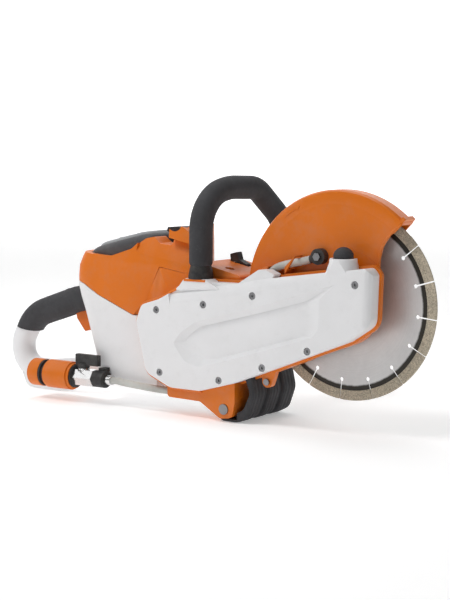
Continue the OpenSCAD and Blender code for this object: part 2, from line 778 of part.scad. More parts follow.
module deck_cover() color("orange") difference() {
    casing(deck_y0 - 10, body_y1, deck_outline);
    battery_space();
    motor_space();
    slab(lever_y - 6, lever_y + 6) translate(lever_at - [10, 8]) square([30, 40]);
    rod_y(2, lever_at, lever_y - 9, lever_y + 9);
    // Hole for hanging up the wheel spanner.
    translate([bx - 30, -6, 20]) cylinder(r = 6, h = 30);
}

// ---- Motor and electronics ----

motor_y0 = frame_y1;
motor_y1 = motor_y0 + motor_l;

module motor_stator() color("darkslategray") difference() {
    union() {
        rod_y(motor_r, motor, motor_y0 + 0.4, motor_y1);
        rod_y(13, motor, frame_y0 + 10, motor_y0 + 0.4);
    }
    rod_y(24, motor, motor_y0 + 6, motor_y1 - 6);
    rod_y(6 + fit, motor, frame_y0, motor_y1 + 1);
}

module motor_rotor() color("silver") {
    rod_y(22, motor, motor_y0 + 8, motor_y1 - 8);
    rod_y(6, motor, pulley_y0 - 2, motor_y1 + 10);
}

module cooling_fan() color("black") difference() {
    union() {
        rod_y(32, motor, motor_y1 + 1.5, motor_y1 + 3);
        rod_y(9, motor, motor_y1 + 1.5, motor_y1 + 9.5);
        for (i = [0:10]) translate([motor[0], motor_y1 + 2, motor[1]]) rotate([0, i * 360 / 11, 0])
            translate([10, 0, -0.8]) cube([20, 7.5, 1.6]);
    }
    rod_y(6, motor, motor_y1, motor_y1 + 12);
}

module controller() color("slategray") translate([bx - 205, body_mid - 24, -118.9]) {
    cube([86, 48, 14]);
    for (i = [0:6]) translate([4 + i * 11.6, 0, 14]) cube([4, 48, 8]);
}

module contact_block() color("black") battery_frame() translate([0, 0, -battery_h - 9]) {
    translate([-24, -20, 0]) cube([48, 40, 7]);
}

// ---- Battery ----

led_x = -22;
cap_h = 15;

module battery_pack() color("dimgray") battery_frame() difference() {
    block(battery_l, battery_w, -battery_h, 0);
    translate([led_x, 0, -3]) cylinder(r = 5 + gap, h = 10);
}

module battery_top() color("silver") battery_frame() difference() {
    block(battery_l - 18, battery_w - 16, 0, cap_h - 9, 12);
    translate([led_x, 0, -3]) cylinder(r = 5 + gap, h = 30);
}

module charge_button() color("black") battery_frame() translate([led_x, 0, -1.5])
    cylinder(r = 5, h = cap_h - 9 + 2.1);

latch_pivot = [bx - 116, 62];

module latch_slot() slab(body_mid - 13, body_mid + 13) polygon([
    for (p = [[-24, -14], [-24, 40], [16, 40], [16, -14]]) latch_pivot + p
]);

module battery_latch() color("black") difference() {
    union() {
        slab(body_mid - 12, body_mid + 12) polygon([
            for (p = [[-3, 0], [-8, 10], [-17, 14], [-16, 19], [2, 20], [8, 16], [4, 6], [3, 0]]) latch_pivot + p
        ]);
        rod_y(4, latch_pivot, body_mid - 12, body_mid + 12);
    }
    rod_y(1.5 + fit, latch_pivot, 0, 60);
}

module latch_pin() color("silver") rod_y(1.5, latch_pivot, body_mid - 15, body_mid + 15);

// ---- Loop handle ----

foot_h = 16;                             // height of the plastic foot under the rubber
loop_tube_r = loop_d / 2 - 3.5;
side_foot_z = 6;
loop_end = body_y1 - loop_right_y + 2.2;   // distance along the loop to the body's left side

// Path in the loop's own plane, from the right foot over the top and down the left side.
function loop_path(a, b) = [
    [0, a], [0, loop_top - 24, 44], [54, loop_top - loop_d / 2 + 2, 90],
    [106, loop_top - loop_d / 2, 30], [loop_span, loop_top - 60, 44],
    [loop_span, side_foot_z + 8, 30], [b, side_foot_z]
];

// The loop's plane: local X runs from the right foot to the left one.
module loop_frame() translate([loop_x, loop_right_y, 0]) rotate([0, 0, 90 - loop_skew]) children();

module loop_tube() color("black") loop_frame() bent_bar(loop_path(seat_z, loop_end), loop_tube_r);

module loop_grip() color("black") loop_frame() difference() {
    bent_bar(loop_path(seat_z + foot_h, loop_end + foot_h), loop_d / 2);
    bent_bar(loop_path(seat_z, loop_end), loop_tube_r);
}

// Flared feet: one stands on the arm, the other is screwed to the body's left side.
module loop_feet() color("dimgray") difference() {
    union() {
        translate([loop_x, loop_right_y, seat_z]) {
            cylinder(r = loop_d / 2 + 1, h = 4);
            translate([0, 0, 4]) cylinder(r1 = loop_d / 2 + 1, r2 = loop_d / 2 - 1.5, h = foot_h - 4);
        }
        loop_side_foot() {
            cylinder(r = loop_d / 2 + 2, h = 4);
            translate([0, 0, 4]) cylinder(r1 = loop_d / 2 + 1, r2 = loop_d / 2 - 1.5, h = foot_h - 4);
        }
    }
    loop_frame() bent_bar(loop_path(seat_z, loop_end), loop_tube_r);
}

module loop_side_foot() translate([loop_x + (loop_end - 2.2) * sin(loop_skew), body_y1, side_foot_z])
    rotate([-90, 0, 0]) children();

// ---- Rear handle ----

// Centre line of the rear handle's tube, from the body round to the body.
handle_path = concat(
    on_body([[-250, -14], [-290, -22, 60], [-374, -50, 50]]),
    [[handle_x, -84, 32], [handle_x, -124, 30]],
    on_body([[-340, -124, 80], [-222, -108]])
);

module on_handle() translate([0, handle_y, 0]) children();

module handle_bar() on_handle() bent_bar(handle_path, handle_r);

module handle_socket() handle_bar();

module skid_outline() polygon(rounded(concat(
    [[handle_x + 4, -126, 4], [handle_x + 14, ground + 3, 10], [handle_x + 34, ground, 12]],
    on_body([[-318, ground, 12], [-290, -126, 4]])
)));

module rear_handle() color("whitesmoke") difference() {
    union() {
        handle_bar();
        slab(handle_y - 12, handle_y + 12) skid_outline();
    }
    on_handle() translate([bx - 345, -5.5, -66]) cube([92, 11, 66]);
    rod_y(2, trigger_at, handle_y - 20, handle_y + 20);
    rod_y(2, lockout_at, handle_y - 20, handle_y + 20);
}

trigger_at = [bx - 264, -24];
lockout_at = [bx - 334, -36];

module rear_grip() color("black") difference() {
    on_handle() bent_bar(concat(
        on_body([[-286, -21.4], [-290, -22, 20], [-374, -50, 50]]),
        [[handle_x, -82]]
    ), handle_r + grip_t);
    handle_bar();
    on_handle() translate([bx - 345, -5.5, -80]) cube([81, 11, 90]);
}

module trigger() color("orangered") difference() {
    union() {
        slab(handle_y - 5, handle_y + 5) polygon(rounded([
            for (p = [[-3, 4, 0], [-30, -14, 0], [-28, -24, 3], [-14, -41, 3], [-6, -38, 3], [-9, -22, 3], [3, -4, 0]])
                [trigger_at[0] + p[0], trigger_at[1] + p[1], p[2]]
        ]));
        rod_y(5.5, trigger_at, handle_y - 5, handle_y + 5);
    }
    rod_y(2 + fit, trigger_at, 0, 40);
}

// Pins of the trigger and the lockout lever.
module handle_pins() color("silver") {
    rod_y(2, trigger_at, handle_y - handle_r + 2, handle_y + handle_r - 2);
    rod_y(2, lockout_at, handle_y - handle_r + 2, handle_y + handle_r - 2);
}

module trigger_switch() color("black") on_handle() translate([bx - 329, -5.5, -48]) cube([18, 11, 10]);

module lockout_lever() color("black") difference() {
    union() {
        slab(handle_y - 5, handle_y + 5) polygon(rounded([
            for (p = [[-4, 1, 0], [-5, 14, 2], [28, 28, 3], [38, 26, 2], [34, 18, 2], [4, 1, 0]])
                [lockout_at[0] + p[0], lockout_at[1] + p[1], p[2]]
        ]));
        rod_y(4.5, lockout_at, handle_y - 5, handle_y + 5);
    }
    rod_y(2 + fit, lockout_at, 0, 40);
}

// ---- Water inlet ----

valve_x = bx - 235;                      // axis of the valve's lever
valve_l = 40;
hex_r = 12;
core_r = 15;
bore_r = 5;

module valve_body() color("silver") difference() {
    union() {
        translate([valve_x - valve_l / 2, valve_y, valve_z]) rotate([0, 90, 0]) rotate([0, 0, 30])
            cylinder(r = hex_r, h = valve_l, $fn = 6);
        translate([valve_x, valve_y, valve_z]) cylinder(r = 8, h = hex_r);
    }
    rod_x(bore_r, valve_x - valve_l, valve_x + valve_l, valve_y, valve_z);
    translate([valve_x, valve_y, valve_z]) cylinder(r = 3 + fit, h = 40);
}

module valve_lever() color("black") translate([valve_x, valve_y, valve_z]) {
    translate([0, 0, 4]) cylinder(r = 3, h = hex_r + 2);
    translate([0, 0, hex_r + 0.6]) cylinder(r = 8, h = 6);
    translate([-11, -3.5, hex_r + 4.2]) cube([37, 7, 14]);
}

core_x1 = valve_x - 12;                  // front end of the coupling's core
sleeve_x1 = core_x1 - 2;
sleeve_x0 = sleeve_x1 - 43;
sleeve_travel = 5;
nut_x1 = sleeve_x0 - sleeve_travel - 1;

// Outer sleeve of the quick coupling: it slides back to let the hose go.
module coupling_sleeve() color("darkorange") union() {
    ring_x(coupling_d / 2, core_r + fit, sleeve_x0, sleeve_x1 - 4, valve_y, valve_z);
    ring_x(coupling_d / 2 - 2, core_r + fit, sleeve_x1 - 4, sleeve_x1, valve_y, valve_z);
}

// Core of the coupling, with the barb that the supply hose is pushed over.
module coupling_core() color("black") difference() {
    union() {
        rod_x(6.4, nut_x1 - 20, nut_x1 - 3, valve_y, valve_z);
        rod_x(core_r, nut_x1 - 3, core_x1, valve_y, valve_z);
        rod_x(coupling_d / 2 - 1, nut_x1 - 3, nut_x1, valve_y, valve_z);
    }
    rod_x(bore_r, nut_x1 - 60, core_x1 + 40, valve_y, valve_z);
    translate([valve_x - valve_l / 2, valve_y, valve_z]) rotate([0, 90, 0]) rotate([0, 0, 30])
        cylinder(r = hex_r, h = valve_l, $fn = 6);
    translate([valve_x, valve_y, valve_z]) cylinder(r = 8.3, h = 30);
}

module coupling_nut() color("darkorange") difference() {
    rod_x(coupling_d / 2 - 0.5, nut_x1 - 21, nut_x1 - 3, valve_y, valve_z);
    rod_x(9.8, nut_x1 - 80, nut_x1 + 10, valve_y, valve_z);
}

inlet_x0 = valve_x + valve_l / 2 + 28;
inlet_route = [
    [inlet_x0 - 1, valve_y, valve_z], [inlet_x0 + 12, valve_y, valve_z], [bx - 170, valve_y, valve_z - 1],
    [bx - 145, valve_y, -118.6], [bx - 115, lip_hose[0], lip_hose[1]], [bx - 100, lip_hose[0], lip_hose[1]],
    [riser_x - 6, lip_hose[0], lip_hose[1]]
];

module inlet_hose() color("gray") swept_tube(smooth(inlet_route, 4), hose_r - 0.15, 10);

module union_nut() color("black") ring_x(11, bore_r, valve_x + valve_l / 2, inlet_x0 - 10, valve_y, valve_z);

module hose_ferrule() color("silver") ring_x(6.6, hose_r - 0.15, inlet_x0 - 10, inlet_x0, valve_y, valve_z);

// Clip that holds the union nut to the body.
module hose_clip() color("black") difference() {
    translate([valve_x + valve_l / 2 + 5, valve_y, valve_z + 9]) cube([9, body_y0 - valve_y + 14, 5]);
    rod_x(11, valve_x, inlet_x0, valve_y, valve_z);
}

module hose_clip_hole() translate([valve_x + valve_l / 2 + 5, body_y0 - 4, valve_z + 9]) cube([9, 18, 5]);

// ---- Foot ----

foot_y0 = frame_y0 - 10;
foot_y1 = 50;

// Section of the rubber foot: a skid that turns up in front, with an eye at its rear.
module foot_profile() polygon(rounded([
    [ear_at[0] - 12, ground + 18, 6], [ear_at[0] - 10, ground, 8], [ear_at[0] + 16, ground, 14],
    [ear_at[0] + 32, ground + 8, 16], [ear_at[0] + 42, ground + 36, 20], [ear_at[0] + 36, ground + 62, 6],
    [ear_at[0] + 24, ground + 62, 3], [ear_at[0] + 34, ground + 38, 14], [ear_at[0] + 24, ground + 16, 12],
    [ear_at[0] + 12, ground + 12, 6], [ear_at[0] + 10, ground + 26, 6], [ear_at[0] - 6, ground + 28, 6]
]));

module support_foot() color("black") difference() {
    slab(foot_y0, foot_y1) foot_profile();
    // Grooves part the skid into three lobes.
    for (i = [1:2]) slab(foot_y0 + i * (foot_y1 - foot_y0) / 3 - 4, foot_y0 + i * (foot_y1 - foot_y0) / 3 + 4)
        translate([ear_at[0] + 14, ground + 9]) square([60, 70]);
    slab(lip_y0 - 1, frame_y1 + 0.2) translate([ear_at[0] - 30, ear_at[1] - ear_r - 0.4])
        square([30 + ear_r + 4.4, 60]);
    slab(foot_y0 - 1, frame_y1 + 0.3) frame_outline(lip + 0.3);
    slab(frame_y0 - 0.3, frame_y0 + 8.3) hull() {
        translate(front_ear_at) circle(r = 7.3);
        translate(front_ear_at + [4, 26]) circle(r = 12.3);
    }
    rod_y(4, ear_at, foot_y0 - 20, foot_y1 + 1);
}

module foot_bolts() color("silver") {
    rod_y(4, ear_at, lip_y0 + 2, foot_y1 - 2);
    rod_y(6.5, ear_at, lip_y0 - 1.5, lip_y0 + 2);
    rod_y(2.5, front_ear_at, frame_y0 - 1, frame_y0 + 8);
    rod_y(4, front_ear_at, frame_y0 - 3, frame_y0 - 1);
}

// ---- Assembly ----

place() wheel_core();
place() wheel_segments();
place() spindle();
place() spindle_bearings();
place() inner_flange();
place() outer_flange();
place() clamp_bolt();
place() wheel_pulley();
place() motor_pulley();
place() drive_belt();
place() belt_idler();
place() idler_pin();
place() arm_frame();
place() belt_cover();
place() cover_screws();
place() guard_shell();
place() guard_bearing_ring();
place() spray_nozzles();
place() hose_banjo();
place() banjo_bolt();
place() water_hose();
place() spindle_lock_button();
place() lock_spring();
place() guard_lock_lever();
place() guard_lever_pin();
place() housing_right();
place() housing_left();
place() housing_screws();
place() battery_casing();
place() deck_cover();
place() motor_stator();
place() motor_rotor();
place() cooling_fan();
place() controller();
place() contact_block();
place() battery_pack();
place() battery_top();
place() charge_button();
place() battery_latch();
place() latch_pin();
place() loop_tube();
place() loop_grip();
place() loop_feet();
place() rear_handle();
place() rear_grip();
place() trigger();
place() handle_pins();
place() trigger_switch();
place() lockout_lever();
place() valve_body();
place() valve_lever();
place() coupling_sleeve();
place() coupling_core();
place() coupling_nut();
place() inlet_hose();
place() union_nut();
place() hose_ferrule();
place() hose_clip();
place() support_foot();
place() foot_bolts();
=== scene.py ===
"""Battery cut-off saw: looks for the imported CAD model, laid out as an add-on and run as a script."""

import json
import math

import bmesh
import bpy
from bpy.props import FloatProperty, FloatVectorProperty, PointerProperty
from mathutils import Matrix, Vector, noise


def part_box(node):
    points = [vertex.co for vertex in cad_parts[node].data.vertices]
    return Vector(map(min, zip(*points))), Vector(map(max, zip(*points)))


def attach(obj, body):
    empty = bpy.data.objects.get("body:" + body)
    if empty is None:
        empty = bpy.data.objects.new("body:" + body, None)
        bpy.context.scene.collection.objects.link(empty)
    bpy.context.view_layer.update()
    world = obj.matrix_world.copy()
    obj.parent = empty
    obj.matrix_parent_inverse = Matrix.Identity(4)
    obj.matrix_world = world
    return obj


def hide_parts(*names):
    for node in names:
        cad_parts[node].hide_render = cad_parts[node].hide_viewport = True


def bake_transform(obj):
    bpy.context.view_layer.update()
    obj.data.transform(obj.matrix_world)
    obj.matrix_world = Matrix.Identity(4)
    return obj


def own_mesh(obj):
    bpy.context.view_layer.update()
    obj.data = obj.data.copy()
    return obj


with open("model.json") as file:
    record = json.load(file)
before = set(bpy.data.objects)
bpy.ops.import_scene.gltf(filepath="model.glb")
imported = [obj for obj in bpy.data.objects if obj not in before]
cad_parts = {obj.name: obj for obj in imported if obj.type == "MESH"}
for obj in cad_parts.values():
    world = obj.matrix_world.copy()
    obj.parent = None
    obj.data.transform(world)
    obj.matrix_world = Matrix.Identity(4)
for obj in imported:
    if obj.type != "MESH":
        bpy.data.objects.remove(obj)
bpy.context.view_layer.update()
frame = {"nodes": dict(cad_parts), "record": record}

bl_info = {
    "name": "Battery Cut-off Saw",
    "version": (1, 0, 0),
    "blender": (4, 5, 0),
    "location": "View3D > Sidebar > Saw",
    "description": "Builds the visible surfaces of a battery cut-off saw around its packed CAD model",
    "category": "Object",
}

# ---- Places ----
# Saw coordinates are in millimetres from the wheel's centre: X forward, Y to the left, Z up.
wheel_low, wheel_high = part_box("wheel_segments")
HUB = (wheel_low + wheel_high) / 2


def at(x, y, z):
    """A point given in saw coordinates, in the row's frame."""
    return HUB + Vector((x, y, z)) / 1000


# ---- Materials ----

def node(tree, kind, **settings):
    """Add a shader node and set its inputs or its own settings."""
    made = tree.nodes.new(kind)
    for key, value in settings.items():
        if key in made.inputs:
            made.inputs[key].default_value = value
        else:
            setattr(made, key, value)
    return made


def new_material(name):
    """A new node material, with its tree and its main shader."""
    material = bpy.data.materials.new(name)
    material.use_nodes = True
    tree = material.node_tree
    return material, tree, tree.nodes["Principled BSDF"]


def place_of(tree):
    """Points of the surface in metres, from the mesh itself."""
    return tree.nodes.new("ShaderNodeTexCoord").outputs["Object"]


def noise_of(tree, scale, detail=4.0, rough=0.6, vector=None):
    """Noise over a piece, between 0 and 1."""
    made = node(tree, "ShaderNodeTexNoise", Scale=scale, Detail=detail, Roughness=rough)
    tree.links.new(vector or place_of(tree), made.inputs["Vector"])
    return made.outputs["Fac"]


def ramp(tree, source, stops):
    """Colours across a value, from (position, colour) stops."""
    made = node(tree, "ShaderNodeValToRGB")
    made.color_ramp.elements[0].position = stops[0][0]
    made.color_ramp.elements[0].color = stops[0][1]
    made.color_ramp.elements[1].position = stops[-1][0]
    made.color_ramp.elements[1].color = stops[-1][1]
    for where, colour in stops[1:-1]:
        made.color_ramp.elements.new(where).color = colour
    tree.links.new(source, made.inputs["Fac"])
    return made.outputs["Color"]


def spread(tree, source, low, high, a=0.3, b=0.7):
    """Stretch a value from the range a to b onto the range low to high."""
    made = node(tree, "ShaderNodeMapRange")
    for key, value in (("From Min", a), ("From Max", b), ("To Min", low), ("To Max", high)):
        made.inputs[key].default_value = value
    tree.links.new(source, made.inputs["Value"])
    return made.outputs["Result"]


def mix(tree, kind, a, b, fac):
    """Two colours blended by fac."""
    made = node(tree, "ShaderNodeMix", data_type="RGBA", blend_type=kind)
    made.inputs[0].default_value = fac if isinstance(fac, float) else 0.5
    for where, value in ((6, a), (7, b)):
        if isinstance(value, tuple):
            made.inputs[where].default_value = value
        else:
            tree.links.new(value, made.inputs[where])
    if not isinstance(fac, float):
        tree.links.new(fac, made.inputs[0])
    return made.outputs[2]


def bump(tree, shader, height, distance, strength=1.0):
    """Add relief to a shader, on top of any that it already has."""
    made = node(tree, "ShaderNodeBump", Strength=strength, Distance=distance)
    tree.links.new(height, made.inputs["Height"])
    if shader.inputs["Normal"].links:
        tree.links.new(shader.inputs["Normal"].links[0].from_socket, made.inputs["Normal"])
    tree.links.new(made.outputs["Normal"], shader.inputs["Normal"])


def shade(colour, factor):
    """A colour made lighter or darker by a factor."""
    return tuple(min(1.0, c * factor) for c in colour[:3]) + (1.0,)


def moulded(name, colour, rough=0.45, grain=2600, depth=0.00004, wear=0.06, dust=0.0, metallic=0.0, coat=0.0):
    """Moulded plastic or paint: fine grain, a faint unevenness of tone and some handling marks."""
    material, tree, shader = new_material(name)
    tone = noise_of(tree, 14, 3)
    fine = noise_of(tree, 320, 5)
    base = ramp(tree, tone, [(0.3, shade(colour, 1 - wear)), (0.7, shade(colour, 1 + wear * 0.4))])
    marks = ramp(tree, noise_of(tree, 60, 8, 0.75), [(0.56, (0, 0, 0, 1)), (0.78, (1, 1, 1, 1))])
    scuffed = mix(tree, "MIX", base, shade(colour, 0.8) if max(colour) > 0.2 else shade(colour, 1.9), marks)
    base = mix(tree, "MIX", base, scuffed, 0.25)
    if dust:
        settle = ramp(tree, noise_of(tree, 30, 6, 0.7), [(0.45, (0, 0, 0, 1)), (0.7, (1, 1, 1, 1))])
        base = mix(tree, "MIX", base, mix(tree, "MIX", base, (0.45, 0.42, 0.38, 1), settle), dust)
    tree.links.new(base, shader.inputs["Base Color"])
    tree.links.new(spread(tree, fine, rough - 0.06, rough + 0.07), shader.inputs["Roughness"])
    shader.inputs["Metallic"].default_value = metallic
    shader.inputs["Specular IOR Level"].default_value = 0.35
    shader.inputs["Coat Weight"].default_value = coat
    shader.inputs["Coat Roughness"].default_value = 0.25
    bump(tree, shader, noise_of(tree, grain, 2), depth)
    bump(tree, shader, noise_of(tree, 90, 3), 0.00006)
    return material


def rubber(name, colour, rough=0.75, grain=1500, depth=0.00008):
    """Matt rubber with a chalky bloom and a fine grain."""
    material, tree, shader = new_material(name)
    tone = noise_of(tree, 20, 5, 0.7)
    base = ramp(tree, tone, [(0.35, shade(colour, 0.85)), (0.7, shade(colour, 1.2))])
    chalk = ramp(tree, noise_of(tree, 150, 6, 0.8), [(0.6, (0, 0, 0, 1)), (0.85, (0.35, 0.35, 0.35, 1))])
    base = mix(tree, "MIX", base, shade((0.22, 0.22, 0.22), 1.0), chalk)
    tree.links.new(base, shader.inputs["Base Color"])
    tree.links.new(spread(tree, noise_of(tree, 200, 4), rough - 0.08, rough + 0.08), shader.inputs["Roughness"])
    shader.inputs["Specular IOR Level"].default_value = 0.35
    bump(tree, shader, noise_of(tree, grain, 3), depth)
    return material


def axis_distance(tree, centre, axis=1):
    """Distance from a line along an axis, in metres, and the vector from it."""
    away = node(tree, "ShaderNodeVectorMath", operation="SUBTRACT")
    tree.links.new(place_of(tree), away.inputs[0])
    away.inputs[1].default_value = centre
    flat = node(tree, "ShaderNodeVectorMath", operation="MULTIPLY")
    tree.links.new(away.outputs[0], flat.inputs[0])
    flat.inputs[1].default_value = [0.0 if i == axis else 1.0 for i in range(3)]
    length = node(tree, "ShaderNodeVectorMath", operation="LENGTH")
    tree.links.new(flat.outputs[0], length.inputs[0])
    return length.outputs["Value"], away.outputs[0]


def metal(name, colour, rough=0.3, turned=None, axis=1, scratch=0.00002, stain=0.12):
    """Steel or aluminium: turned rings about a line where one is given, or else a fine random brush."""
    material, tree, shader = new_material(name)
    if turned is None:
        grain = noise_of(tree, 700, 6, 0.7)
    else:
        radius, _ = axis_distance(tree, turned, axis)
        rings = node(tree, "ShaderNodeTexNoise", noise_dimensions="1D", Scale=1.0, Detail=6.0)
        scaled = node(tree, "ShaderNodeMath", operation="MULTIPLY")
        scaled.inputs[1].default_value = 2600.0
        tree.links.new(radius, scaled.inputs[0])
        tree.links.new(scaled.outputs[0], rings.inputs["W"])
        grain = rings.outputs["Fac"]
    base = ramp(tree, noise_of(tree, 25, 5, 0.7), [(0.3, shade(colour, 1 - stain)), (0.7, shade(colour, 1 + stain * 0.4))])
    base = mix(tree, "MULTIPLY", base, ramp(tree, grain, [(0.3, (0.86, 0.86, 0.86, 1)), (0.7, (1, 1, 1, 1))]), 0.7)
    tree.links.new(base, shader.inputs["Base Color"])
    tree.links.new(spread(tree, grain, rough - 0.08, rough + 0.12), shader.inputs["Roughness"])
    shader.inputs["Metallic"].default_value = 1.0
    bump(tree, shader, grain, scratch)
    return material


def blade_steel(name, colour, dark):
    """Ground wheel core: turned grain, with a heat-darkened ring under the segments."""
    material, tree, shader = new_material(name)
    radius, _ = axis_distance(tree, HUB, 1)
    rings = node(tree, "ShaderNodeTexNoise", noise_dimensions="1D", Scale=1.0, Detail=5.0)
    scaled = node(tree, "ShaderNodeMath", operation="MULTIPLY")
    scaled.inputs[1].default_value = 900.0
    tree.links.new(radius, scaled.inputs[0])
    tree.links.new(scaled.outputs[0], rings.inputs["W"])
    grain = rings.outputs["Fac"]
    grey = ramp(tree, noise_of(tree, 18, 6, 0.7), [(0.3, shade(colour, 0.86)), (0.7, shade(colour, 1.04))])
    grey = mix(tree, "MULTIPLY", grey, ramp(tree, grain, [(0.3, (0.88, 0.88, 0.88, 1)), (0.7, (1, 1, 1, 1))]), 0.6)
    ragged = node(tree, "ShaderNodeMath", operation="MULTIPLY_ADD")
    tree.links.new(noise_of(tree, 160, 5, 0.7), ragged.inputs[0])
    ragged.inputs[1].default_value = 0.0022
    tree.links.new(radius, ragged.inputs[2])
    band = ramp(tree, spread(tree, ragged.outputs[0], 0, 1, 0.0972, 0.1072),
        [(0.0, (0, 0, 0, 1)), (0.2, (1, 1, 1, 1)), (0.85, (1, 1, 1, 1)), (1.0, (0.2, 0.2, 0.2, 1))])
    tree.links.new(mix(tree, "MIX", grey, shade(dark, 1), band), shader.inputs["Base Color"])
    tree.links.new(spread(tree, grain, 0.36, 0.5), shader.inputs["Roughness"])
    shader.inputs["Metallic"].default_value = 0.55
    bump(tree, shader, grain, 0.00002)
    return material


def sintered(name, colour):
    """Cast diamond segments: coarse light and dark grains with pits."""
    material, tree, shader = new_material(name)
    cells = node(tree, "ShaderNodeTexVoronoi", Scale=900.0)
    tree.links.new(place_of(tree), cells.inputs["Vector"])
    grain = mix(tree, "MIX", cells.outputs["Color"], noise_of(tree, 1300, 5, 0.8), 0.6)
    base = ramp(tree, grain, [(0.25, shade(colour, 0.5)), (0.5, shade(colour, 0.95)), (0.75, shade(colour, 1.35))])
    base = mix(tree, "MULTIPLY", base, ramp(tree, noise_of(tree, 60, 4), [(0.3, (0.8, 0.8, 0.8, 1)), (0.7, (1, 1, 1, 1))]), 0.8)
    tree.links.new(base, shader.inputs["Base Color"])
    shader.inputs["Roughness"].default_value = 0.85
    shader.inputs["Metallic"].default_value = 0.2
    bump(tree, shader, cells.outputs["Distance"], 0.0004)
    bump(tree, shader, noise_of(tree, 1600, 4), 0.0002)
    return material


MATERIALS = {}


def linear(colour):
    """A screen colour as linear light."""
    return tuple(((c + 0.055) / 1.055) ** 2.4 if c > 0.04045 else c / 12.92 for c in colour[:3])


def make_materials():
    """Make every finish from the panel's colours."""
    c = bpy.context.scene.saw_colours
    orange, white, black = linear(c.orange), linear(c.white), linear(c.black)
    m = MATERIALS
    m["orange_metal"] = moulded("orange_paint", orange, 0.38, 1400, 0.00003, 0.07, 0.1, coat=0.15)
    m["orange_plastic"] = moulded("orange_plastic", orange, 0.42, 2400, 0.00005, 0.06, 0.08)
    m["trigger_orange"] = moulded("trigger_orange", linear(c.trigger), 0.4)
    m["white_plastic"] = moulded("white_plastic", white, 0.4, 2400, 0.00004, 0.03, 0.05)
    m["black_plastic"] = moulded("black_plastic", black, 0.48, 2000, 0.00006, 0.12, 0.12)
    m["grip_rubber"] = rubber("grip_rubber", linear(c.grip))
    m["belt_rubber"] = rubber("belt_rubber", (0.02, 0.02, 0.02))
    m["battery_grey"] = moulded("battery_grey", linear(c.battery), 0.5, 2200, 0.00006, 0.1, 0.1)
    m["battery_silver"] = moulded("battery_silver", linear(c.battery_top), 0.42, 2200, 0.00005, 0.06, 0.1)
    m["wheel_steel"] = blade_steel("wheel_steel", linear(c.blade), linear(c.heat_ring))
    m["wheel_segment"] = sintered("wheel_segment", linear(c.segment))
    m["dark_steel"] = metal("blackened_steel", (0.2, 0.2, 0.21), 0.35, HUB)
    m["steel"] = metal("turned_steel", (0.6, 0.6, 0.6), 0.25)
    m["screw_steel"] = metal("zinc_steel", (0.3, 0.3, 0.31), 0.32)
    m["bearing_plastic"] = moulded("bearing_plastic", (0.03, 0.03, 0.03), 0.4)
    m["chrome"] = metal("chrome", (0.8, 0.8, 0.8), 0.14)
    m["aluminium"] = metal("aluminium", (0.7, 0.7, 0.7), 0.35)
    m["hose_grey"] = rubber("hose_grey", linear(c.hose), 0.5, 1200, 0.00003)


# ---- Mesh helpers ----

NODE_SLOT = {s["node"]: s["material_slot"] for s in frame["record"]["subparts"]}


def smooth(obj, angle=35):
    """Smooth shading, sharp where faces meet at more than the angle."""
    for polygon in obj.data.polygons:
        polygon.use_smooth = True
    obj.data.set_sharp_from_angle(angle=math.radians(angle))


def finish_edges(obj, width, segments=2, angle=30, clamp=True):
    """Rounds the sharp edges, and shades by face size so that flats stay flat."""
    if width:
        rounding = obj.modifiers.new("rounded_edges", "BEVEL")
        rounding.width, rounding.segments = width / 1000, segments
        rounding.limit_method, rounding.angle_limit = "ANGLE", math.radians(angle)
        rounding.use_clamp_overlap = clamp
        rounding.miter_outer = "MITER_ARC"
    even = obj.modifiers.new("even_shading", "WEIGHTED_NORMAL")
    even.keep_sharp = True
    return obj


def coat(obj, slot):
    """Give a piece one finish and its slot."""
    obj.data.materials.clear()
    obj.data.materials.append(MATERIALS[slot])
    return obj


def dress(name, width=0.4, segments=2, angle=35):
    """A CAD piece whose shape is right: welded, edges rounded, and given its material."""
    obj = frame["nodes"][name]
    slot = NODE_SLOT[name]
    obj.data.materials.clear()
    obj.data.materials.append(MATERIALS[slot])
    joined = obj.modifiers.new("joined", "WELD")
    joined.merge_threshold = 0.00002
    for polygon in obj.data.polygons:
        polygon.use_smooth = True
    if width:
        finish_edges(obj, width, segments, angle)
    else:
        finish_edges(obj, 0)
    return obj


# ---- Shapes ----

def rounded(corners, steps=6):
    """An XZ outline whose corners (x, z, r) are rounded by arcs."""
    made = []
    count = len(corners)
    for i, corner in enumerate(corners):
        here = Vector(corner[:2])
        radius = corner[2] if len(corner) > 2 else 0
        a = (Vector(corners[i - 1][:2]) - here)
        b = (Vector(corners[(i + 1) % count][:2]) - here)
        if radius == 0:
            made.append(tuple(here))
            continue
        half = a.angle(b) / 2
        reach = min(radius / math.tan(half), a.length * 0.49, b.length * 0.49)
        start, end = here + a.normalized() * reach, here + b.normalized() * reach
        for k in range(steps + 1):
            t = k / steps
            made.append(tuple(start * (1 - t) ** 2 + here * (2 * t * (1 - t)) + end * t ** 2))
    return made


def arc(centre, radius, a0, a1, steps):
    """Points along an arc about the centre, with angles in degrees."""
    return [(centre[0] + radius * math.cos(math.radians(a0 + (a1 - a0) * k / steps)),
             centre[1] + radius * math.sin(math.radians(a0 + (a1 - a0) * k / steps))) for k in range(steps + 1)]


def new_piece(name, bm, slot, body, angle=35):
    """Turn a mesh into an object with its finish, riding on the body when one is given."""
    bmesh.ops.recalc_face_normals(bm, faces=bm.faces)
    mesh = bpy.data.meshes.new(name)
    bm.to_mesh(mesh)
    bm.free()
    obj = bpy.data.objects.new(name, mesh)
    bpy.context.scene.collection.objects.link(obj)
    smooth(obj, angle)
    if slot:
        coat(obj, slot)
    if body:
        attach(obj, body)
    return obj


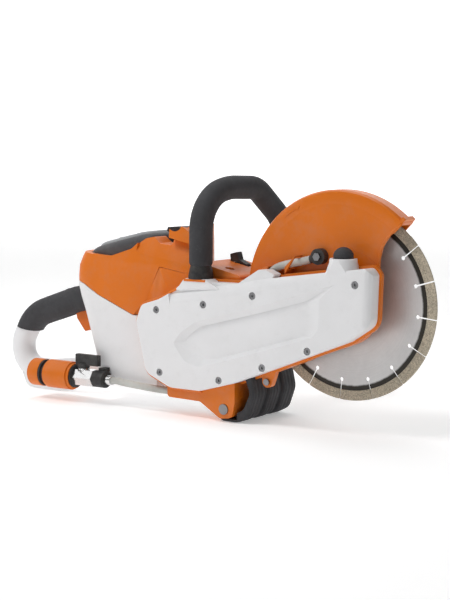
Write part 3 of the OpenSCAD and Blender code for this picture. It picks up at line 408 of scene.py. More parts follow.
def stack(layers, caps=True):
    """A solid through outlines of equal length, each a list of points."""
    bm = bmesh.new()
    rows = [[bm.verts.new(p) for p in layer] for layer in layers]
    count = len(rows[0])
    for a, b in zip(rows, rows[1:]):
        for i in range(count):
            bm.faces.new((a[i], a[(i + 1) % count], b[(i + 1) % count], b[i]))
    if caps:
        bm.faces.new(rows[0])
        bm.faces.new(rows[-1])
    return bm


def inset(outline, distance):
    """Moves an XZ outline inwards by a distance along its normals."""
    area = sum(a[0] * b[1] - b[0] * a[1] for a, b in zip(outline, outline[1:] + outline[:1]))
    side = 1 if area > 0 else -1
    count = len(outline)
    made = []
    for i, p in enumerate(outline):
        a, b = Vector(outline[i - 1]), Vector(outline[(i + 1) % count])
        run = (b - a).normalized() if (b - a).length > 1e-6 else Vector((1, 0))
        made.append((p[0] - run.y * distance * side, p[1] + run.x * distance * side))
    return made


def prism(outline, y0, y1, edge0=0.0, edge1=0.0, steps=4):
    """An XZ outline swept from y0 to y1, with its rims at y0 and y1 rounded."""
    layers = []
    for k in range(steps + 1 if edge0 else 1):
        t = math.pi / 2 * k / steps
        layers.append((y0 + edge0 * (1 - math.sin(t)) if edge0 else y0, edge0 * (1 - math.cos(t)) if edge0 else 0))
    layers = [(y0 + edge0 * (1 - math.cos(math.pi / 2 * k / steps)),
        edge0 * (1 - math.sin(math.pi / 2 * k / steps))) for k in range(steps + 1)] if edge0 else [(y0, 0)]
    layers += [(y1 - edge1 * (1 - math.cos(math.pi / 2 * k / steps)),
        edge1 * (1 - math.sin(math.pi / 2 * k / steps))) for k in range(steps, -1, -1)] if edge1 else [(y1, 0)]
    return stack([[at(x, y, z) for x, z in inset(outline, d)] for y, d in layers])


def lathe(profile, centre, a0=0.0, a1=360.0, steps=96, axis="Y"):
    """A closed profile of (radius, along) turned about a line through centre, in saw millimetres."""
    bm = bmesh.new()
    whole = abs(a1 - a0) >= 360
    rows = []
    for k in range(steps if whole else steps + 1):
        a = math.radians(a0 + (a1 - a0) * k / steps)
        row = []
        for r, along in profile:
            if axis == "Y":
                p = (centre[0] + r * math.cos(a), along, centre[1] + r * math.sin(a))
            elif axis == "X":
                p = (along, centre[0] + r * math.cos(a), centre[1] + r * math.sin(a))
            else:
                p = (centre[0] + r * math.cos(a), centre[1] + r * math.sin(a), along)
            row.append(bm.verts.new(at(*p)))
        rows.append(row)
    n = len(profile)
    for k in range(len(rows) if whole else len(rows) - 1):
        a, b = rows[k], rows[(k + 1) % len(rows)]
        for i in range(n):
            bm.faces.new((a[i], a[(i + 1) % n], b[(i + 1) % n], b[i]))
    if not whole:
        bm.faces.new(rows[0])
        bm.faces.new(rows[-1])
    bmesh.ops.remove_doubles(bm, verts=bm.verts, dist=1e-7)
    return bm


def curve_through(points, per=6):
    """A smooth line through points."""
    pts = [Vector(p) for p in points]
    made = []
    for i in range(len(pts) - 1):
        p0, p1, p2, p3 = pts[max(0, i - 1)], pts[i], pts[i + 1], pts[min(len(pts) - 1, i + 2)]
        for k in range(per):
            t = k / per
            made.append(0.5 * (2 * p1 + (p2 - p0) * t + (2 * p0 - 5 * p1 + 4 * p2 - p3) * t * t + (3 * p1 - p0 - 3 * p2 + p3) * t ** 3))
    made.append(pts[-1])
    return made


def bent(corners, step=4.0):
    """A line through corners (point, radius) with round bends, cut into short steps."""
    pts = [Vector(c[0]) for c in corners]
    line = [pts[0]]
    for i in range(1, len(pts) - 1):
        here, radius = pts[i], corners[i][1]
        a, b = pts[i - 1] - here, pts[i + 1] - here
        turn = math.pi - a.angle(b)
        reach = min(radius * math.tan(turn / 2), a.length * 0.97, b.length * 0.97)
        radius = reach / math.tan(turn / 2)
        start, end = here + a.normalized() * reach, here + b.normalized() * reach
        centre = here + (a.normalized() + b.normalized()).normalized() * (radius / math.cos(turn / 2))
        count = max(4, int(radius * turn / step))
        for k in range(count + 1):
            t = k / count
            line.append(centre + (start - centre).normalized().slerp((end - centre).normalized(),
                t) * radius if turn > 1e-3 else here)
    line.append(pts[-1])
    even = [line[0]]
    for p in line[1:]:
        while (p - even[-1]).length > step * 1.6:
            even.append(even[-1] + (p - even[-1]).normalized() * step)
        if (p - even[-1]).length > 0.4:
            even.append(p)
    return even


def tube(line, section, up=(0, 0, 1), caps=True):
    """A bar along a line in saw millimetres. section(i, share) gives (across, rise) points about the line."""
    rows = []
    side = None
    for i, p in enumerate(line):
        run = (line[min(i + 1, len(line) - 1)] - line[max(i - 1, 0)]).normalized()
        if side is None:
            side = run.cross(Vector(up)).normalized()
        side = (side - run * side.dot(run)).normalized()
        top = side.cross(run).normalized()
        rows.append([at(*(p + side * a + top * b)) for a, b in section(i, i / (len(line) - 1))])
    return stack(rows, caps)


def ring(radius, count=28, flat=1.0, power=2.0):
    """A tube section: flat narrows it and power squares it."""
    made = []
    for k in range(count):
        a = 2 * math.pi * k / count
        c, s = math.cos(a), math.sin(a)
        made.append((radius * flat * math.copysign(abs(c) ** (2 / power), c), radius * math.copysign(abs(s) ** (2 / power), s)))
    return made


def carve(obj, bm, kind="DIFFERENCE"):
    """Cuts a shape out of a piece, or joins it on."""
    tool = new_piece("tool", bm, None, None)
    cut = obj.modifiers.new("cut", "BOOLEAN")
    cut.operation, cut.solver, cut.object = kind, "EXACT", tool
    evaluated = obj.evaluated_get(bpy.context.evaluated_depsgraph_get())
    mesh = bpy.data.meshes.new_from_object(evaluated)
    if not mesh.vertices:
        raise RuntimeError(f"{obj.name}: the cut left nothing")
    obj.modifiers.clear()
    old = obj.data
    obj.data = mesh
    mesh.name = obj.name
    bpy.data.meshes.remove(old)
    bpy.data.objects.remove(tool)
    return obj


def disc(centre, radius, y0, y1, steps=40):
    """A cylinder across the saw, centred in XZ."""
    return prism(arc(centre, radius, 0, 360 - 360 / steps, steps - 1), y0, y1)


def merge(*meshes):
    """Several shapes as one."""
    bm = meshes[0]
    for other in meshes[1:]:
        mesh = bpy.data.meshes.new("part")
        bmesh.ops.recalc_face_normals(other, faces=other.faces)
        other.to_mesh(mesh)
        other.free()
        bm.from_mesh(mesh)
        bpy.data.meshes.remove(mesh)
    return bm


class SawColours(bpy.types.PropertyGroup):
    """Colours of the saw's finishes."""

    orange: FloatVectorProperty(name="Orange", description="Painted arm and orange casings", subtype="COLOR_GAMMA", size=3, min=0,
        max=1, default=(0.88, 0.45, 0.03))
    white: FloatVectorProperty(name="White", description="Housing and belt cover", subtype="COLOR_GAMMA", size=3, min=0, max=1,
        default=(0.93, 0.93, 0.935))
    black: FloatVectorProperty(name="Black", description="Small black plastic pieces", subtype="COLOR_GAMMA", size=3, min=0,
        max=1, default=(0.17, 0.17, 0.175))
    grip: FloatVectorProperty(name="Grip", description="Rubber grips and foot", subtype="COLOR_GAMMA", size=3, min=0, max=1,
        default=(0.24, 0.24, 0.25))
    battery: FloatVectorProperty(name="Battery", description="Battery case", subtype="COLOR_GAMMA", size=3, min=0, max=1,
        default=(0.3, 0.3, 0.31))
    battery_top: FloatVectorProperty(name="Battery top", description="Top shell of the battery", subtype="COLOR_GAMMA", size=3,
        min=0, max=1, default=(0.62, 0.63, 0.64))
    trigger: FloatVectorProperty(name="Trigger", description="Switch trigger", subtype="COLOR_GAMMA", size=3, min=0, max=1,
        default=(0.86, 0.42, 0.07))
    blade: FloatVectorProperty(name="Blade", description="Core of the cutting wheel", subtype="COLOR_GAMMA", size=3, min=0, max=1,
        default=(0.86, 0.86, 0.86))
    heat_ring: FloatVectorProperty(name="Heat ring", description="Dark ring under the segments", subtype="COLOR_GAMMA", size=3,
        min=0, max=1, default=(0.2, 0.19, 0.17))
    segment: FloatVectorProperty(name="Segments", description="Diamond segments", subtype="COLOR_GAMMA", size=3, min=0, max=1,
        default=(0.8, 0.76, 0.68))
    hose: FloatVectorProperty(name="Hose", description="Water hoses", subtype="COLOR_GAMMA", size=3, min=0, max=1,
        default=(0.74, 0.74, 0.72))


class SawSizes(bpy.types.PropertyGroup):
    """Sizes of the shaped details, in millimetres."""

    edge: FloatProperty(name="Edge", description="Rounding of the CAD pieces' edges", min=0.1, max=1, default=0.4)
    cover_edge: FloatProperty(name="Cover edge", description="Rounding of the belt cover's edges", min=0.3, max=2, default=1.1)
    panel_depth: FloatProperty(name="Panel depth", description="Depth of the cover's sunk panel", min=1, max=8, default=5.6)
    screw_well: FloatProperty(name="Screw wells", description="Radius of the wells round the cover screws", min=4.2, max=6,
        default=4.7)
    hose: FloatProperty(name="Hose", description="Radius of the upper water hose", min=4, max=4.75, default=4.75)
    inlet_hose: FloatProperty(name="Inlet hose", description="Radius of the hose from the coupling", min=4, max=4.75, default=4.6)


class SAW_OT_dress_cad(bpy.types.Operator):
    """Give every CAD piece that stays visible its material and rounded edges"""

    bl_idname = "saw.dress_cad"
    bl_label = "Dress CAD Pieces"

    def execute(self, context):
        make_materials()
        for name in frame["nodes"]:
            dress(name, context.scene.saw_sizes.edge)
        return {"FINISHED"}


COVER = [(-277, -34, 10), (-268, -13, 10), (-242, -5, 12), (-192, 20, 8), (-126, 20, 8), (-95, 39, 4), (-84, 39, 4),
         (-72, 34, 2), (-76, 30, 2), (54, 48, 8), (60, 40, 6), (58, -18, 18), (26, -39, 24), (-128, -100, 50),
         (-178, -114, 30), (-224, -114, 30), (-262, -98, 18)]
SCREWS = [(40, 29), (-23, -52), (-244, -18), (-172, -7), (-100, 8), (-239, -96), (-149, -98), (-86, -77)]
COVER_Y, JOINT_Y = -57.3, -36.3
BUTTON = (15, -40.3)


def wedge(a, b, rise, points, spare=30):
    """A cutter along the line from a to b in XZ: points are (distance to the left of the line, y)."""
    a, b = Vector(a), Vector(b)
    run = (b - a).normalized()
    left = Vector((-run.y, run.x)) * rise
    layers = []
    for end in (a - run * spare, b + run * spare):
        layers.append([at(end.x + left.x * d, y, end.y + left.y * d) for d, y in points])
    return stack(layers)


class SAW_OT_belt_cover(bpy.types.Operator):
    """Build the white belt cover with its sunk panel, screw wells and button collar"""

    bl_idname = "saw.belt_cover"
    bl_label = "Belt Cover"

    def execute(self, context):
        sizes = context.scene.saw_sizes
        outline = rounded(COVER, 7)
        cover = new_piece("belt_cover_shell", prism(outline, COVER_Y, JOINT_Y, edge0=2.2), "white_plastic", None)
        slope = [(0, COVER_Y - 0.02), (5, -56.4), (10, -54.2), (14, -51.5), (60, -50.5), (60, -70), (0, -70)]
        carve(cover, wedge((-193, -5), (48, 39), 1, slope))
        nose = [(0, COVER_Y - 0.02), (4, -56.8), (8, -54.8), (11, -51.2), (12.5, -47), (14, -40), (40, -40), (40, -70), (0, -70)]
        carve(cover, wedge((49, 60), (48, -14), 1, nose, 4))
        outer = [(-218, -57), (-205, -43), (-183, -29), (-89, -4), (16, 29), (-7, 10), (-8, -26), (-17, -36), (-151, -77),
            (-179, -84), (-200, -79)]
        inner = [(-203, -55), (-194, -45), (-180, -35), (-91, -12), (-27, 6), (-26, 2), (-27, -26), (-35, -37), (-153, -72),
            (-174, -74), (-190, -69)]
        level = [rounded([(*p, r) for p, r in zip(shape, (5, 10, 14, 0, 1, 6, 9, 8, 16, 12, 10))], 4) for shape in (outer, inner)]
        deep = [[at(x, y, z) for x, z in shape] for shape,
            y in ((level[0], COVER_Y - 1), (level[0], COVER_Y + 0.05), (level[1], COVER_Y + sizes.panel_depth))]
        carve(cover, stack(deep))
        collar = lathe([(0.01, 20), (29, 20), (24.5, 32), (19.5, 43), (16.4, 52), (16, 56.5), (15.2, 57), (0.01, 57)], BUTTON,
            steps=64, axis="Z")
        bmesh.ops.bisect_plane(collar, geom=collar.verts[:] + collar.edges[:] + collar.faces[:], plane_co=at(0, COVER_Y + 1.2, 0),
            plane_no=(0, -1, 0), clear_outer=True)
        bmesh.ops.bisect_plane(collar, geom=collar.verts[:] + collar.edges[:] + collar.faces[:], plane_co=at(0, -30.2, 0),
            plane_no=(0, 1, 0), clear_outer=True)
        bmesh.ops.holes_fill(collar, edges=collar.edges[:])
        carve(cover, collar, "UNION")
        seat = prism(rounded([(-214, 8, 0), (-203, 23.3, 6), (-169, 23.3, 6), (-150, 12, 0)], 4), -55.6, -36.4, 2.5)
        carve(cover, seat, "UNION")
        for p in SCREWS:
            carve(cover, disc(p, sizes.screw_well, COVER_Y - 3, COVER_Y + 5.5, 28))
        carve(cover, lathe([(0.01, 47), (12.6, 47), (12.6, 80), (0.01, 80)], BUTTON, steps=48, axis="Z"))
        coat(cover, "white_plastic")
        smooth(cover, 32)
        finish_edges(cover, sizes.cover_edge, 3, 24)
        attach(cover, "machine")
        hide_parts("belt_cover")
        return {"FINISHED"}


REAR = [(-124, -365), (-108, -370), (-86, -375), (-60, -383), (-32, -392), (-12, -399.5), (2, -403.5), (15, -403.5), (29, -402),
    (40, -396.5), (50, -390), (100, -380)]
WHITE = [(-410, 8, 0), (-392, 7, 6), (-382, 4.6, 10), (-358, -8.6, 30), (-300, -31.3, 14), (-139, -26, 0), (-139, -108, 4),
    (-148, -122, 8), (-372, -122, 12), (-410, -110, 0)]
HUMP = [(-410, 8.8, 0), (-392, 7.8, 6), (-381.7, 5.4, 10), (-357.6, -7.8, 30), (-300, -30.5, 0), (-278.6, -10.6, 2),
    (-257.6, 33.4, 3), (-213, 26.6, 3), (-204, 31, 0),
        (-204, 54, 6), (-211, 79, 8), (-224, 86, 9), (-241, 83, 5), (-243, 60, 4), (-262, 62, 6), (-272, 70, 5), (-284, 67.5, 8),
        (-302, 54, 14), (-337, 43, 20), (-370, 45, 10), (-392, 47, 6), (-410, 47, 0)]


def body_loft():
    """The whole body as plan outlines stacked in Z, narrowing towards the floor at the rear."""
    layers = []
    for z, x in REAR:
        plan = rounded([(x, -33, 30), (-205.2, -33, 0), (-205.2, -26, 0), (-138, -26, 2), (-138, 24, 10), (-158, 59, 14),
            (x, 59, 30)], 8)
        layers.append([at(px, py, z) for px, py in plan])
    return stack(layers)


def in_battery(lx, ly, lz):
    """A point given in the battery's own leaning frame."""
    c, s = math.cos(math.radians(14)), math.sin(math.radians(14))
    return at(-330 + lx * c - lz * s, 13 + ly, 63 + lx * s + lz * c)


def battery_block(length, width, z0, z1, corner, edge, crown=0.0, steps=5, middle=(0, 0)):
    """A rounded block in the battery's frame, with rolled top edges and an optional crown."""
    outline = rounded([(-length / 2, -width / 2, corner), (length / 2, -width / 2, corner), (length / 2, width / 2, corner),
        (-length / 2, width / 2, corner)], 8)
    levels = [(z0, 0)] + [(z1 - edge * (1 - math.sin(math.pi / 2 * k / steps)),
        edge * (1 - math.cos(math.pi / 2 * k / steps))) for k in range(steps + 1)]
    layers = []
    for z, d in levels:
        fx, fy = (length / 2 - d) / (length / 2), (width / 2 - d) / (width / 2)
        layers.append([in_battery(middle[0] + x * fx, middle[1] + y * fy, z - crown * (x * fx / (length / 2)) ** 2) for x,
            y in outline])
    return stack(layers)


class SAW_OT_body(bpy.types.Operator):
    """Build the white body halves and the orange battery casing"""

    bl_idname = "saw.body"
    bl_label = "Body Casings"

    def execute(self, context):
        for name, y0, y1 in (("housing_right", -60, 12.9), ("housing_left", 13.1, 80)):
            half = new_piece(name + "_skin", body_loft(), "white_plastic", None)
            carve(half, prism(rounded(WHITE, 6), y0, y1), "INTERSECT")
            if name == "housing_right":
                carve(half, prism(inset(rounded(COVER, 7), -3.3), -60, -18.6))
                carve(half, prism([(-262, -200), (-100, -200), (-100, -60), (-262, -60)], -60, -18.6))
                carve(half, prism([(-192, -200), (-100, -200), (-100, 43), (-192, 43)], -60, -18.6))
            else:
                for k in range(7):
                    carve(half, prism(rounded([(-222 + 8 * k, -74, 1.9), (-218 + 8 * k, -74, 1.9), (-218 + 8 * k, -26, 1.9),
                        (-222 + 8 * k, -26, 1.9)], 4), 54, 70))
            carve(half, tube(bent([((-386, 14, -13), 0), ((-412, 14, -19), 0)], 4), lambda i, t: ring(15.9, 32), up=(0, 1, 0)))
            coat(half, "white_plastic")
            smooth(half, 30)
            finish_edges(half, 1.6, 3, 32)
            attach(half, "machine")
            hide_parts(name)
        hump = new_piece("battery_casing_skin", body_loft(), "orange_plastic", None)
        carve(hump, prism(rounded(HUMP, 6), -60, 80), "INTERSECT")
        slant = [(-204.6, -40), (-204.6, -4), (-244, 70), (-180, 70), (-180, -40)]
        carve(hump, stack([[at(x, y, z) for x, y in slant] for z in (-50, 120)]))
        facet = [(0, -33.6), (30, -20), (30, -60), (0, -60)]
        ends = ((-294, 50.5), (-200, 31))
        run = (Vector(ends[1]) - Vector(ends[0])).normalized()
        carve(hump, stack([[at(x - run.y * d, y, z + run.x * d) for d, y in facet] for x, z in ends]))
        scoop = [(17 * math.cos(math.radians(a)), -14 + 26 * math.sin(math.radians(a))) for a in range(-90, 91, 12)]
        carve(hump, lathe([(0.01, scoop[0][1]), *scoop[1:-1], (0.01, scoop[-1][1])], (-233, 90), steps=32))
        carve(hump, battery_block(114, 78, -105, 60, 22, 0.5))
        carve(hump, prism([(-278, 40), (-246, 40), (-240, 110), (-278, 110)], 0, 26))
        coat(hump, "orange_plastic")
        smooth(hump, 30)
        finish_edges(hump, 1.8, 3, 30)
        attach(hump, "machine")
        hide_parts("battery_casing")
        return {"FINISHED"}


class SAW_OT_battery(bpy.types.Operator):
    """Build the battery with its crowned top and its charge lights"""

    bl_idname = "saw.battery"
    bl_label = "Battery"

    def execute(self, context):
        pack = new_piece("battery_pack_skin", battery_block(112, 76, -104, 1.0, 20, 8, 2.5), "battery_grey", None, 40)
        carve(pack, battery_block(94, 60, -3.0, 20, 15, 0.5))
        coat(pack, "battery_grey")
        smooth(pack, 40)
        finish_edges(pack, 0.8, 2, 35)
        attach(pack, "battery")
        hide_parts("battery_pack")
        top = new_piece("battery_top_skin", battery_block(90, 56, -6, 5.2, 13, 4.5, 2.5), "battery_silver", None, 40)
        for k in range(3):
            carve(top, battery_block(3, 34, 0.5, 20, 1.4, 0.2, middle=(8 + 9 * k, 0)))
        carve(top, battery_block(11, 40, 2.6, 20, 5, 0.3, middle=(-22, 0)))
        coat(top, "battery_silver")
        smooth(top, 40)
        finish_edges(top, 0.5, 2, 35)
        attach(top, "battery")
        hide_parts("battery_top")
        lights = new_piece("battery_lights", merge(*[battery_block(3.2, 3.2, 1, 3.5, 1.5, 0.8, middle=(-22, y)) for y in (-16,
            -10.5, 10.5, 16)]), "battery_silver", "battery", 40)
        finish_edges(lights, 0)
        return {"FINISHED"}


class SAW_OT_arm_rim(bpy.types.Operator):
    """Build the orange lip of the arm that shows round the rear of the cover"""

    bl_idname = "saw.arm_rim"
    bl_label = "Arm Rim"

    def execute(self, context):
        outline = rounded(COVER, 7)
        outer, inner = inset(outline, -2.7), inset(outline, 0.4)
        y0, y1 = -53.5, JOINT_Y
        bm = bmesh.new()
        keep = [i for i in range(len(outline)) if outline[i][0] < -178]
        start = next(i for i in keep if (i - 1) % len(outline) not in keep)
        order = [(start + k) % len(outline) for k in range(len(keep))]
        rows = [[bm.verts.new(at(p[0], y, p[1])) for p,
            y in ((inner[i], y0), (inner[i], y1), (outer[i], y1), (outer[i], y0 + 0.8),
            (inset(outline, -1.9)[i], y0))] for i in order]
        for a, b in zip(rows, rows[1:]):
            for k in range(5):
                bm.faces.new((a[k], a[(k + 1) % 5], b[(k + 1) % 5], b[k]))
        bm.faces.new(rows[0])
        bm.faces.new(rows[-1])
        rim = new_piece("arm_rim", bm, "orange_metal", "machine", 40)
        finish_edges(rim, 0.3, 2, 30)
        return {"FINISHED"}


GUARD_C = (-8, 8)
NEAR_EDGE = [(-28, -46), (-2, -51), (28, -37), (42, -20), (47, 2), (49, 30), (50, 56), (54, 71), (64, 85)]


class SAW_OT_guard(bpy.types.Operator):
    """Build the orange wheel guard with its rim, stepped side and front lip"""

    bl_idname = "saw.guard"
    bl_label = "Wheel Guard"

    def execute(self, context):
        a0, a1 = 46, 206
        band = lathe([(109, -17.2), (110.6, -18), (120.5, -18), (124.6, -16.8), (126.5, -13.5), (126.5, 5.2), (124.8, 7.6),
            (122.5, 8), (94, 8),
                      (92.5, 7.2), (92.5, 6.2), (94, 5.4), (121, 5.4), (123.4, 3.5), (123.4, -12), (121, -15.4), (109, -15.4)],
                      GUARD_C, a0, a1, 90)
        guard = new_piece("guard_shell_skin", band, "orange_metal", None, 40)
        front = [(p[0], p[1], r) for p, r in zip(NEAR_EDGE, (14, 30, 20, 14, 20, 30, 10, 8, 0))]
        plate = rounded([(p[0], p[1], 0) for p in arc(GUARD_C, 109.5, a0, a1, 70)] + front, 5)
        carve(guard, prism(plate, -17.2, -15.4), "UNION")
        step = [p for p in arc((0, 0), 67, 42, 206, 50)] + [(-30, -46), (-2, -50.2), (27.4, -36.6), (41.2, -20), (46.2, 2),
            (48.2, 30), (49, 44)]
        carve(guard, prism(step, -18, -16), "UNION")
        lip = lathe([(121, -17.4), (129.4, -17.4), (130.5, -16.4), (130.5, 6.4), (129.4, 7.4), (121, 7.4)], GUARD_C, a0 + 0.2,
            a0 + 2.4, 4)
        carve(guard, lip, "UNION")
        edge = curve_through([(x, -16.9, z) for x, z in ((-2, -50.2), (27.2, -36.2), (40.8, -19.6), (45.8, 2), (47.8, 30),
            (48.8, 56), (52.9, 71.4), (63.4, 86), (77, 97.4))], 5)
        carve(guard, tube(edge, lambda i, t: ring(1.75, 12), up=(0, 1, 0)), "UNION")
        arrow = [(64, 102), (61, 99), (66, 94), (71, 99), (68, 102)]
        middle, size = GUARD_C, 118.2
        path = arc(middle, size, 118, 128, 8)
        inner, outer = arc(middle, size - 1.4, 118, 128, 8), arc(middle, size + 1.4, 118, 128, 8)
        head = [arc(middle, size + r, a, a, 1)[0] for r, a in ((3.6, 118), (0, 115.2), (-3.6, 118))]
        carve(guard, prism(outer[::-1] + head + inner, -18.5, -17), "UNION")
        carve(guard, disc((0, 0), 20.3, -30, 0, 64))
        coat(guard, "orange_metal")
        smooth(guard, 34)
        finish_edges(guard, 0.6, 3, 28)
        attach(guard, "guard")
        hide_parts("guard_shell")
        return {"FINISHED"}


def on_loop(s, z):
    """A point in the loop handle's plane: s along it from the right foot, z up."""
    return (-186 + 0.0941 * s, -42 + 0.9956 * s, z)


class SAW_OT_loop_handle(bpy.types.Operator):
    """Build the rubber-covered loop handle"""

    bl_idname = "saw.loop_handle"
    bl_label = "Loop Handle"

    def execute(self, context):
        corners = [(0, 39, 0), (0.8, 121.5, 50), (54, 133.2, 90), (106, 131.5, 34), (162, 86, 46), (162, 14, 30), (118, 6, 0)]
        line = bent([(on_loop(s, z), r) for s, z, r in corners], 3)
        count = len(line)

        def section(i, t):
            end = min(i, count - 1 - i) * 3
            return ring(14.5 - 1.6 * max(0, 1 - end / 2.5) ** 2 + 0.35 * math.sin(math.pi * t), 36)
        grip = new_piece("loop_grip_skin", tube(line, section, up=(1, 0, 0)), "grip_rubber", "machine", 50)
        finish_edges(grip, 0)
        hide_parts("loop_grip")
        return {"FINISHED"}


HANDLE = [((-388, 14, -14), 0), ((-428, 14, -22), 60), ((-512, 14, -50), 50), ((-532, 14, -84), 32), ((-532, 14, -124), 30),
          ((-478, 14, -124), 80), ((-360, 14, -108), 0)]


class SAW_OT_rear_handle(bpy.types.Operator):
    """Build the white rear handle, its skid and the rubber grip"""

    bl_idname = "saw.rear_handle"
    bl_label = "Rear Handle"

    def execute(self, context):
        line = bent(HANDLE, 4)
        bar = new_piece("rear_handle_skin", tube(line, lambda i, t: ring(15.5, 40, 1.0, 2.25), up=(0, 1, 0)), "white_plastic",
            None, 45)
        skid = rounded([(-528, -126, 4), (-519, -148, 12), (-498, -150, 12), (-456, -150, 14), (-424, -126, 10)], 6)
        rest = new_piece("rear_skid", prism(skid, 2, 26, 3.5, 3.5), "white_plastic", "machine", 35)
        finish_edges(rest, 0)
        carve(bar, prism([(-483, -70), (-391, -70), (-391, 0), (-483, 0)], 8.4, 19.6))
        coat(bar, "white_plastic")
        smooth(bar, 35)
        finish_edges(bar, 1.0, 3, 30)
        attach(bar, "machine")
        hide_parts("rear_handle")
        upper = bent([((-397, 14, -15.8), 0), ((-428, 14, -22), 20), ((-512, 14, -50), 50), ((-532, 14, -96), 0)], 3)
        count = len(upper)

        def section(i, t):
            end = min(i, count - 1 - i) * 3
            swell = 0.8 * math.sin(math.pi * min(1, t * 1.4))
            return ring(17.6 + swell - 2.2 * max(0, 1 - end / 4) ** 2, 40, 1.0, 2.15)
        grip = new_piece("rear_grip_skin", tube(upper, section, up=(0, 1, 0)), "grip_rubber", None, 50)
        carve(grip, prism([(-483, -80), (-391, -80), (-391, -26), (-402, 10), (-483, 10)], 8.2, 19.8))
        carve(grip, prism([(-570, -59), (-490, -73), (-490, -140), (-570, -140)], -20, 50))
        for k in range(5):
            p = upper[int(count * (0.7 + 0.05 * k))]
            q = upper[int(count * (0.7 + 0.05 * k)) + 1]
            run = Vector(q) - Vector(p)
            hoop = [Vector(p) + (Matrix.Rotation(2 * math.pi * n / 32, 3, run) @ Vector((0, 1, 0))) * 18.9 for n in range(33)]
            carve(grip, tube(hoop, lambda i, t: ring(0.75, 8), up=run, caps=True))
        coat(grip, "grip_rubber")
        smooth(grip, 40)
        finish_edges(grip, 0.8, 2, 35)
        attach(grip, "machine")
        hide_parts("rear_grip")
        return {"FINISHED"}


class SAW_OT_foot(bpy.types.Operator):
    """Build the rubber foot as three ribbed lobes on one web"""

    bl_idname = "saw.foot"
    bl_label = "Rubber Foot"

    def execute(self, context):
        ex, g = -146, -150
        profile = rounded([(ex - 12, g + 18, 6), (ex - 10, g, 8), (ex + 16, g, 14), (ex + 32, g + 8, 16), (ex + 42, g + 36, 20),
                           (ex + 36, g + 62, 6), (ex + 24, g + 62, 3), (ex + 34, g + 38, 14), (ex + 24, g + 16, 12),
                           (ex + 12, g + 12, 6),
                           (ex + 10, g + 26, 6), (ex - 6, g + 28, 6)], 6)
        width = (50 + 46.3) / 3
        layers = []
        for lobe in range(3):
            y0 = -46.3 + lobe * width
            low, high = y0 + (3.4 if lobe else 0.2), y0 + width - (3.4 if lobe < 2 else 0.2)
            for k in range(29):
                t = k / 28
                edge = min(t, 1 - t) * (high - low)
                dip = 2.6 * max(0, 1 - edge / 2.6) ** 2 + 0.9 * (0.5 - 0.5 * math.cos(2 * math.pi * t * 4)) ** 3
                layers.append((low + (high - low) * t, dip))
            if lobe < 2:
                layers += [(high + 0.3, 4.2), (high + 6.2, 4.2)]
        bm = stack([[at(x, y, z) for x, z in inset(profile, min(d, 4.3))] for y, d in layers])
        foot = new_piece("support_foot_skin", bm, "grip_rubber", None, 50)
        carve(foot, prism([(ex - 30, -146.4), (ex + 16.4, -146.4), (ex + 16.4, -86), (ex - 30, -86)], -52, -18.6))
        coat(foot, "grip_rubber")
        smooth(foot, 45)
        finish_edges(foot, 0)
        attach(foot, "machine")
        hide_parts("support_foot")
        return {"FINISHED"}


SPRING_TURNS, SPRING_STEPS = 3, 12
SPRING_R, SPRING_WIRE_R = 7, 0.7
SPRING_FOOT, SPRING_RISE = 48.8, 7.1


class SAW_OT_hoses(bpy.types.Operator):
    """Build the two water hoses and the lock spring"""

    bl_idname = "saw.hoses"
    bl_label = "Water Hoses"

    def execute(self, context):
        sizes = context.scene.saw_sizes
        y = -29.55
        route = [(-208, -43.3, -112.6), (-208, -43.3, -104), (-212, y - 6, -94), (-230, y, -86), (-250, y, -74), (-262, y, -52),
                 (-260, y, -30), (-244, y, -14), (-216, y, -3), (-188, y, 8), (-158, y, 9), (-130, y, 9), (-112, y, 18),
                 (-96, y, 31),
                 (-82, y, 41), (-66, y + 2, 46), (-52, -23.8, 49), (-40, -22.8, 52.1)]
        upper = new_piece("water_hose_skin", tube(curve_through(route, 6), lambda i, t: ring(sizes.hose, 20), up=(0, 1, 0)),
            "hose_grey", None, 50)
        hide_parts("water_hose")
        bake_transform(upper)
        route = [(-326, -45, -116), (-315, -45, -116), (-308, -45, -117), (-283, -45, -118.6), (-253, -43.3, -120.6),
            (-238, -43.3, -120.6), (-214, -43.3, -120.6)]
        lower = new_piece("inlet_hose_skin", tube(curve_through(route, 8), lambda i, t: ring(sizes.inlet_hose, 20), up=(0, 1, 0)),
            "hose_grey", "machine", 50)
        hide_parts("inlet_hose")
        count = SPRING_TURNS * SPRING_STEPS
        coil = []
        for i in range(count + 1):
            turn = 2 * math.pi * i / SPRING_STEPS
            z = SPRING_FOOT + SPRING_RISE * i / count
            coil.append(Vector((BUTTON[0] + SPRING_R * math.cos(turn), BUTTON[1] + SPRING_R * math.sin(turn), z)))
        wire = tube(coil, lambda i, t: ring(SPRING_WIRE_R, 8), up=(0, 0, 1))
        spring = new_piece("lock_spring_coil", wire, "screw_steel", "machine", 50)
        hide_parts("lock_spring")
        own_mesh(spring)
        return {"FINISHED"}


def aim(obj, target):
    """Turn a light to face a target."""
    obj.rotation_mode = "QUATERNION"
    obj.rotation_quaternion = (Vector(target) - obj.location).to_track_quat("-Z", "Y")


BACKDROP_OFFSET = Vector((-1.77, 3.02, 0.6))
BACKDROP_TURN = math.radians(30.4)
CAMERA_OFFSET = Vector((0.8912, -1.5201, 0.1971))
CAMERA_AZIMUTH, CAMERA_ELEVATION = math.radians(35.16), math.radians(6.26)
# Name, place in metres, size in metres, power in watts.
LIGHTS = [("key_light", (-0.5, -0.9, 1.7), 0.6, 14), ("top_light", (-0.3, 0.3, 2.0), 1.0, 8),
    ("rear_light", (-1.4, -0.8, 0.9), 1.0, 3)]


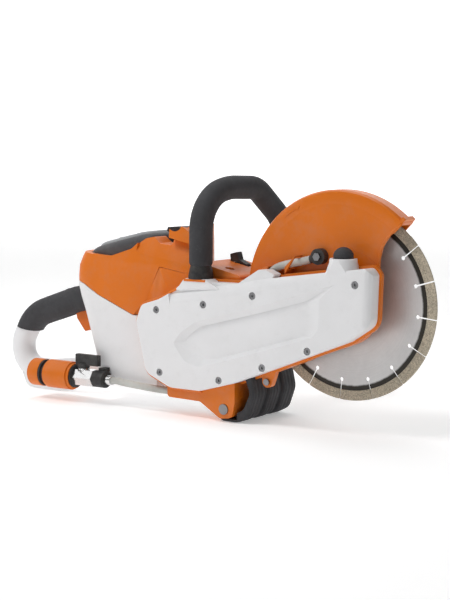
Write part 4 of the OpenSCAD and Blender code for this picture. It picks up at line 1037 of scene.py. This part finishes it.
class SAW_OT_stage(bpy.types.Operator):
    """Add the floor, the soft lights and the camera"""

    bl_idname = "saw.stage"
    bl_label = "Stage"

    def execute(self, context):
        scene = context.scene
        bpy.ops.mesh.primitive_plane_add(size=12, location=(0, 0, -0.0002))
        floor = context.object
        floor.name = "studio_floor"
        material, tree, shader = new_material("studio_floor")
        tree.links.new(ramp(tree, noise_of(tree, 2, 3), [(0.3, (0.86, 0.86, 0.86, 1)), (0.7, (0.9, 0.9, 0.9, 1))]),
            shader.inputs["Base Color"])
        shader.inputs["Roughness"].default_value = 0.9
        shader.inputs["Emission Color"].default_value = (1, 1, 1, 1)
        shader.inputs["Emission Strength"].default_value = 0.3
        floor.data.materials.append(material)
        bpy.ops.mesh.primitive_plane_add(size=9, location=HUB + BACKDROP_OFFSET, rotation=(math.radians(90), 0, BACKDROP_TURN))
        backdrop = context.object
        backdrop.name = "studio_backdrop"
        glow, _, shader = new_material("studio_backdrop")
        shader.inputs["Base Color"].default_value = (1, 1, 1, 1)
        shader.inputs["Emission Color"].default_value = (1, 1, 1, 1)
        shader.inputs["Emission Strength"].default_value = 0.75
        backdrop.data.materials.append(glow)
        world = bpy.data.worlds.new("studio")
        scene.world = world
        world.use_nodes = True
        world.node_tree.nodes["Background"].inputs["Color"].default_value = (1, 1, 1, 1)
        world.node_tree.nodes["Background"].inputs["Strength"].default_value = 0.26
        for name, where, size, power in LIGHTS:
            light = bpy.data.lights.new(name, "AREA")
            light.size, light.energy = size, power
            lamp = bpy.data.objects.new(name, light)
            lamp.location = where
            scene.collection.objects.link(lamp)
            aim(lamp, (0, 0, 0.12))
        camera = bpy.data.objects.new("camera", bpy.data.cameras.new("camera"))
        camera.data.lens, camera.data.sensor_width = 90, 36
        camera.data.sensor_fit = "AUTO"
        camera.location = HUB + CAMERA_OFFSET
        a, e = CAMERA_AZIMUTH, CAMERA_ELEVATION
        look = -Vector((math.sin(a) * math.cos(e), -math.cos(a) * math.cos(e), math.sin(e)))
        camera.rotation_mode = "QUATERNION"
        camera.rotation_quaternion = look.to_track_quat("-Z", "Y")
        camera.data.clip_start, camera.data.clip_end = 0.05, 30
        scene.collection.objects.link(camera)
        scene.camera = camera
        scene.view_settings.view_transform = "Standard"
        return {"FINISHED"}


STEPS = [SAW_OT_dress_cad, SAW_OT_belt_cover, SAW_OT_body, SAW_OT_battery, SAW_OT_arm_rim, SAW_OT_guard, SAW_OT_loop_handle,
    SAW_OT_rear_handle, SAW_OT_foot, SAW_OT_hoses, SAW_OT_stage]


class SAW_PT_panel(bpy.types.Panel):
    """Lists the building steps of the saw"""

    bl_idname = "SAW_PT_panel"
    bl_label = "Cut-off Saw"
    bl_space_type = "VIEW_3D"
    bl_region_type = "UI"
    bl_category = "Saw"

    def draw(self, context):
        for step in STEPS:
            self.layout.operator(step.bl_idname)
        for group, values in ((SawSizes, context.scene.saw_sizes), (SawColours, context.scene.saw_colours)):
            for name in group.__annotations__:
                self.layout.prop(values, name)


CLASSES = [SawSizes, SawColours, *STEPS, SAW_PT_panel]


def register():
    """Add the saw's classes and settings to Blender."""
    for cls in CLASSES:
        bpy.utils.register_class(cls)
    bpy.types.Scene.saw_colours = PointerProperty(type=SawColours)
    bpy.types.Scene.saw_sizes = PointerProperty(type=SawSizes)


def unregister():
    """Take the saw's classes and settings away again."""
    del bpy.types.Scene.saw_sizes
    del bpy.types.Scene.saw_colours
    for cls in reversed(CLASSES):
        bpy.utils.unregister_class(cls)


def main():
    """Build the saw step by step."""
    register()
    for step in STEPS:
        group, call = step.bl_idname.split(".")
        getattr(getattr(bpy.ops, group), call)()


if __name__ == "__main__":
    main()
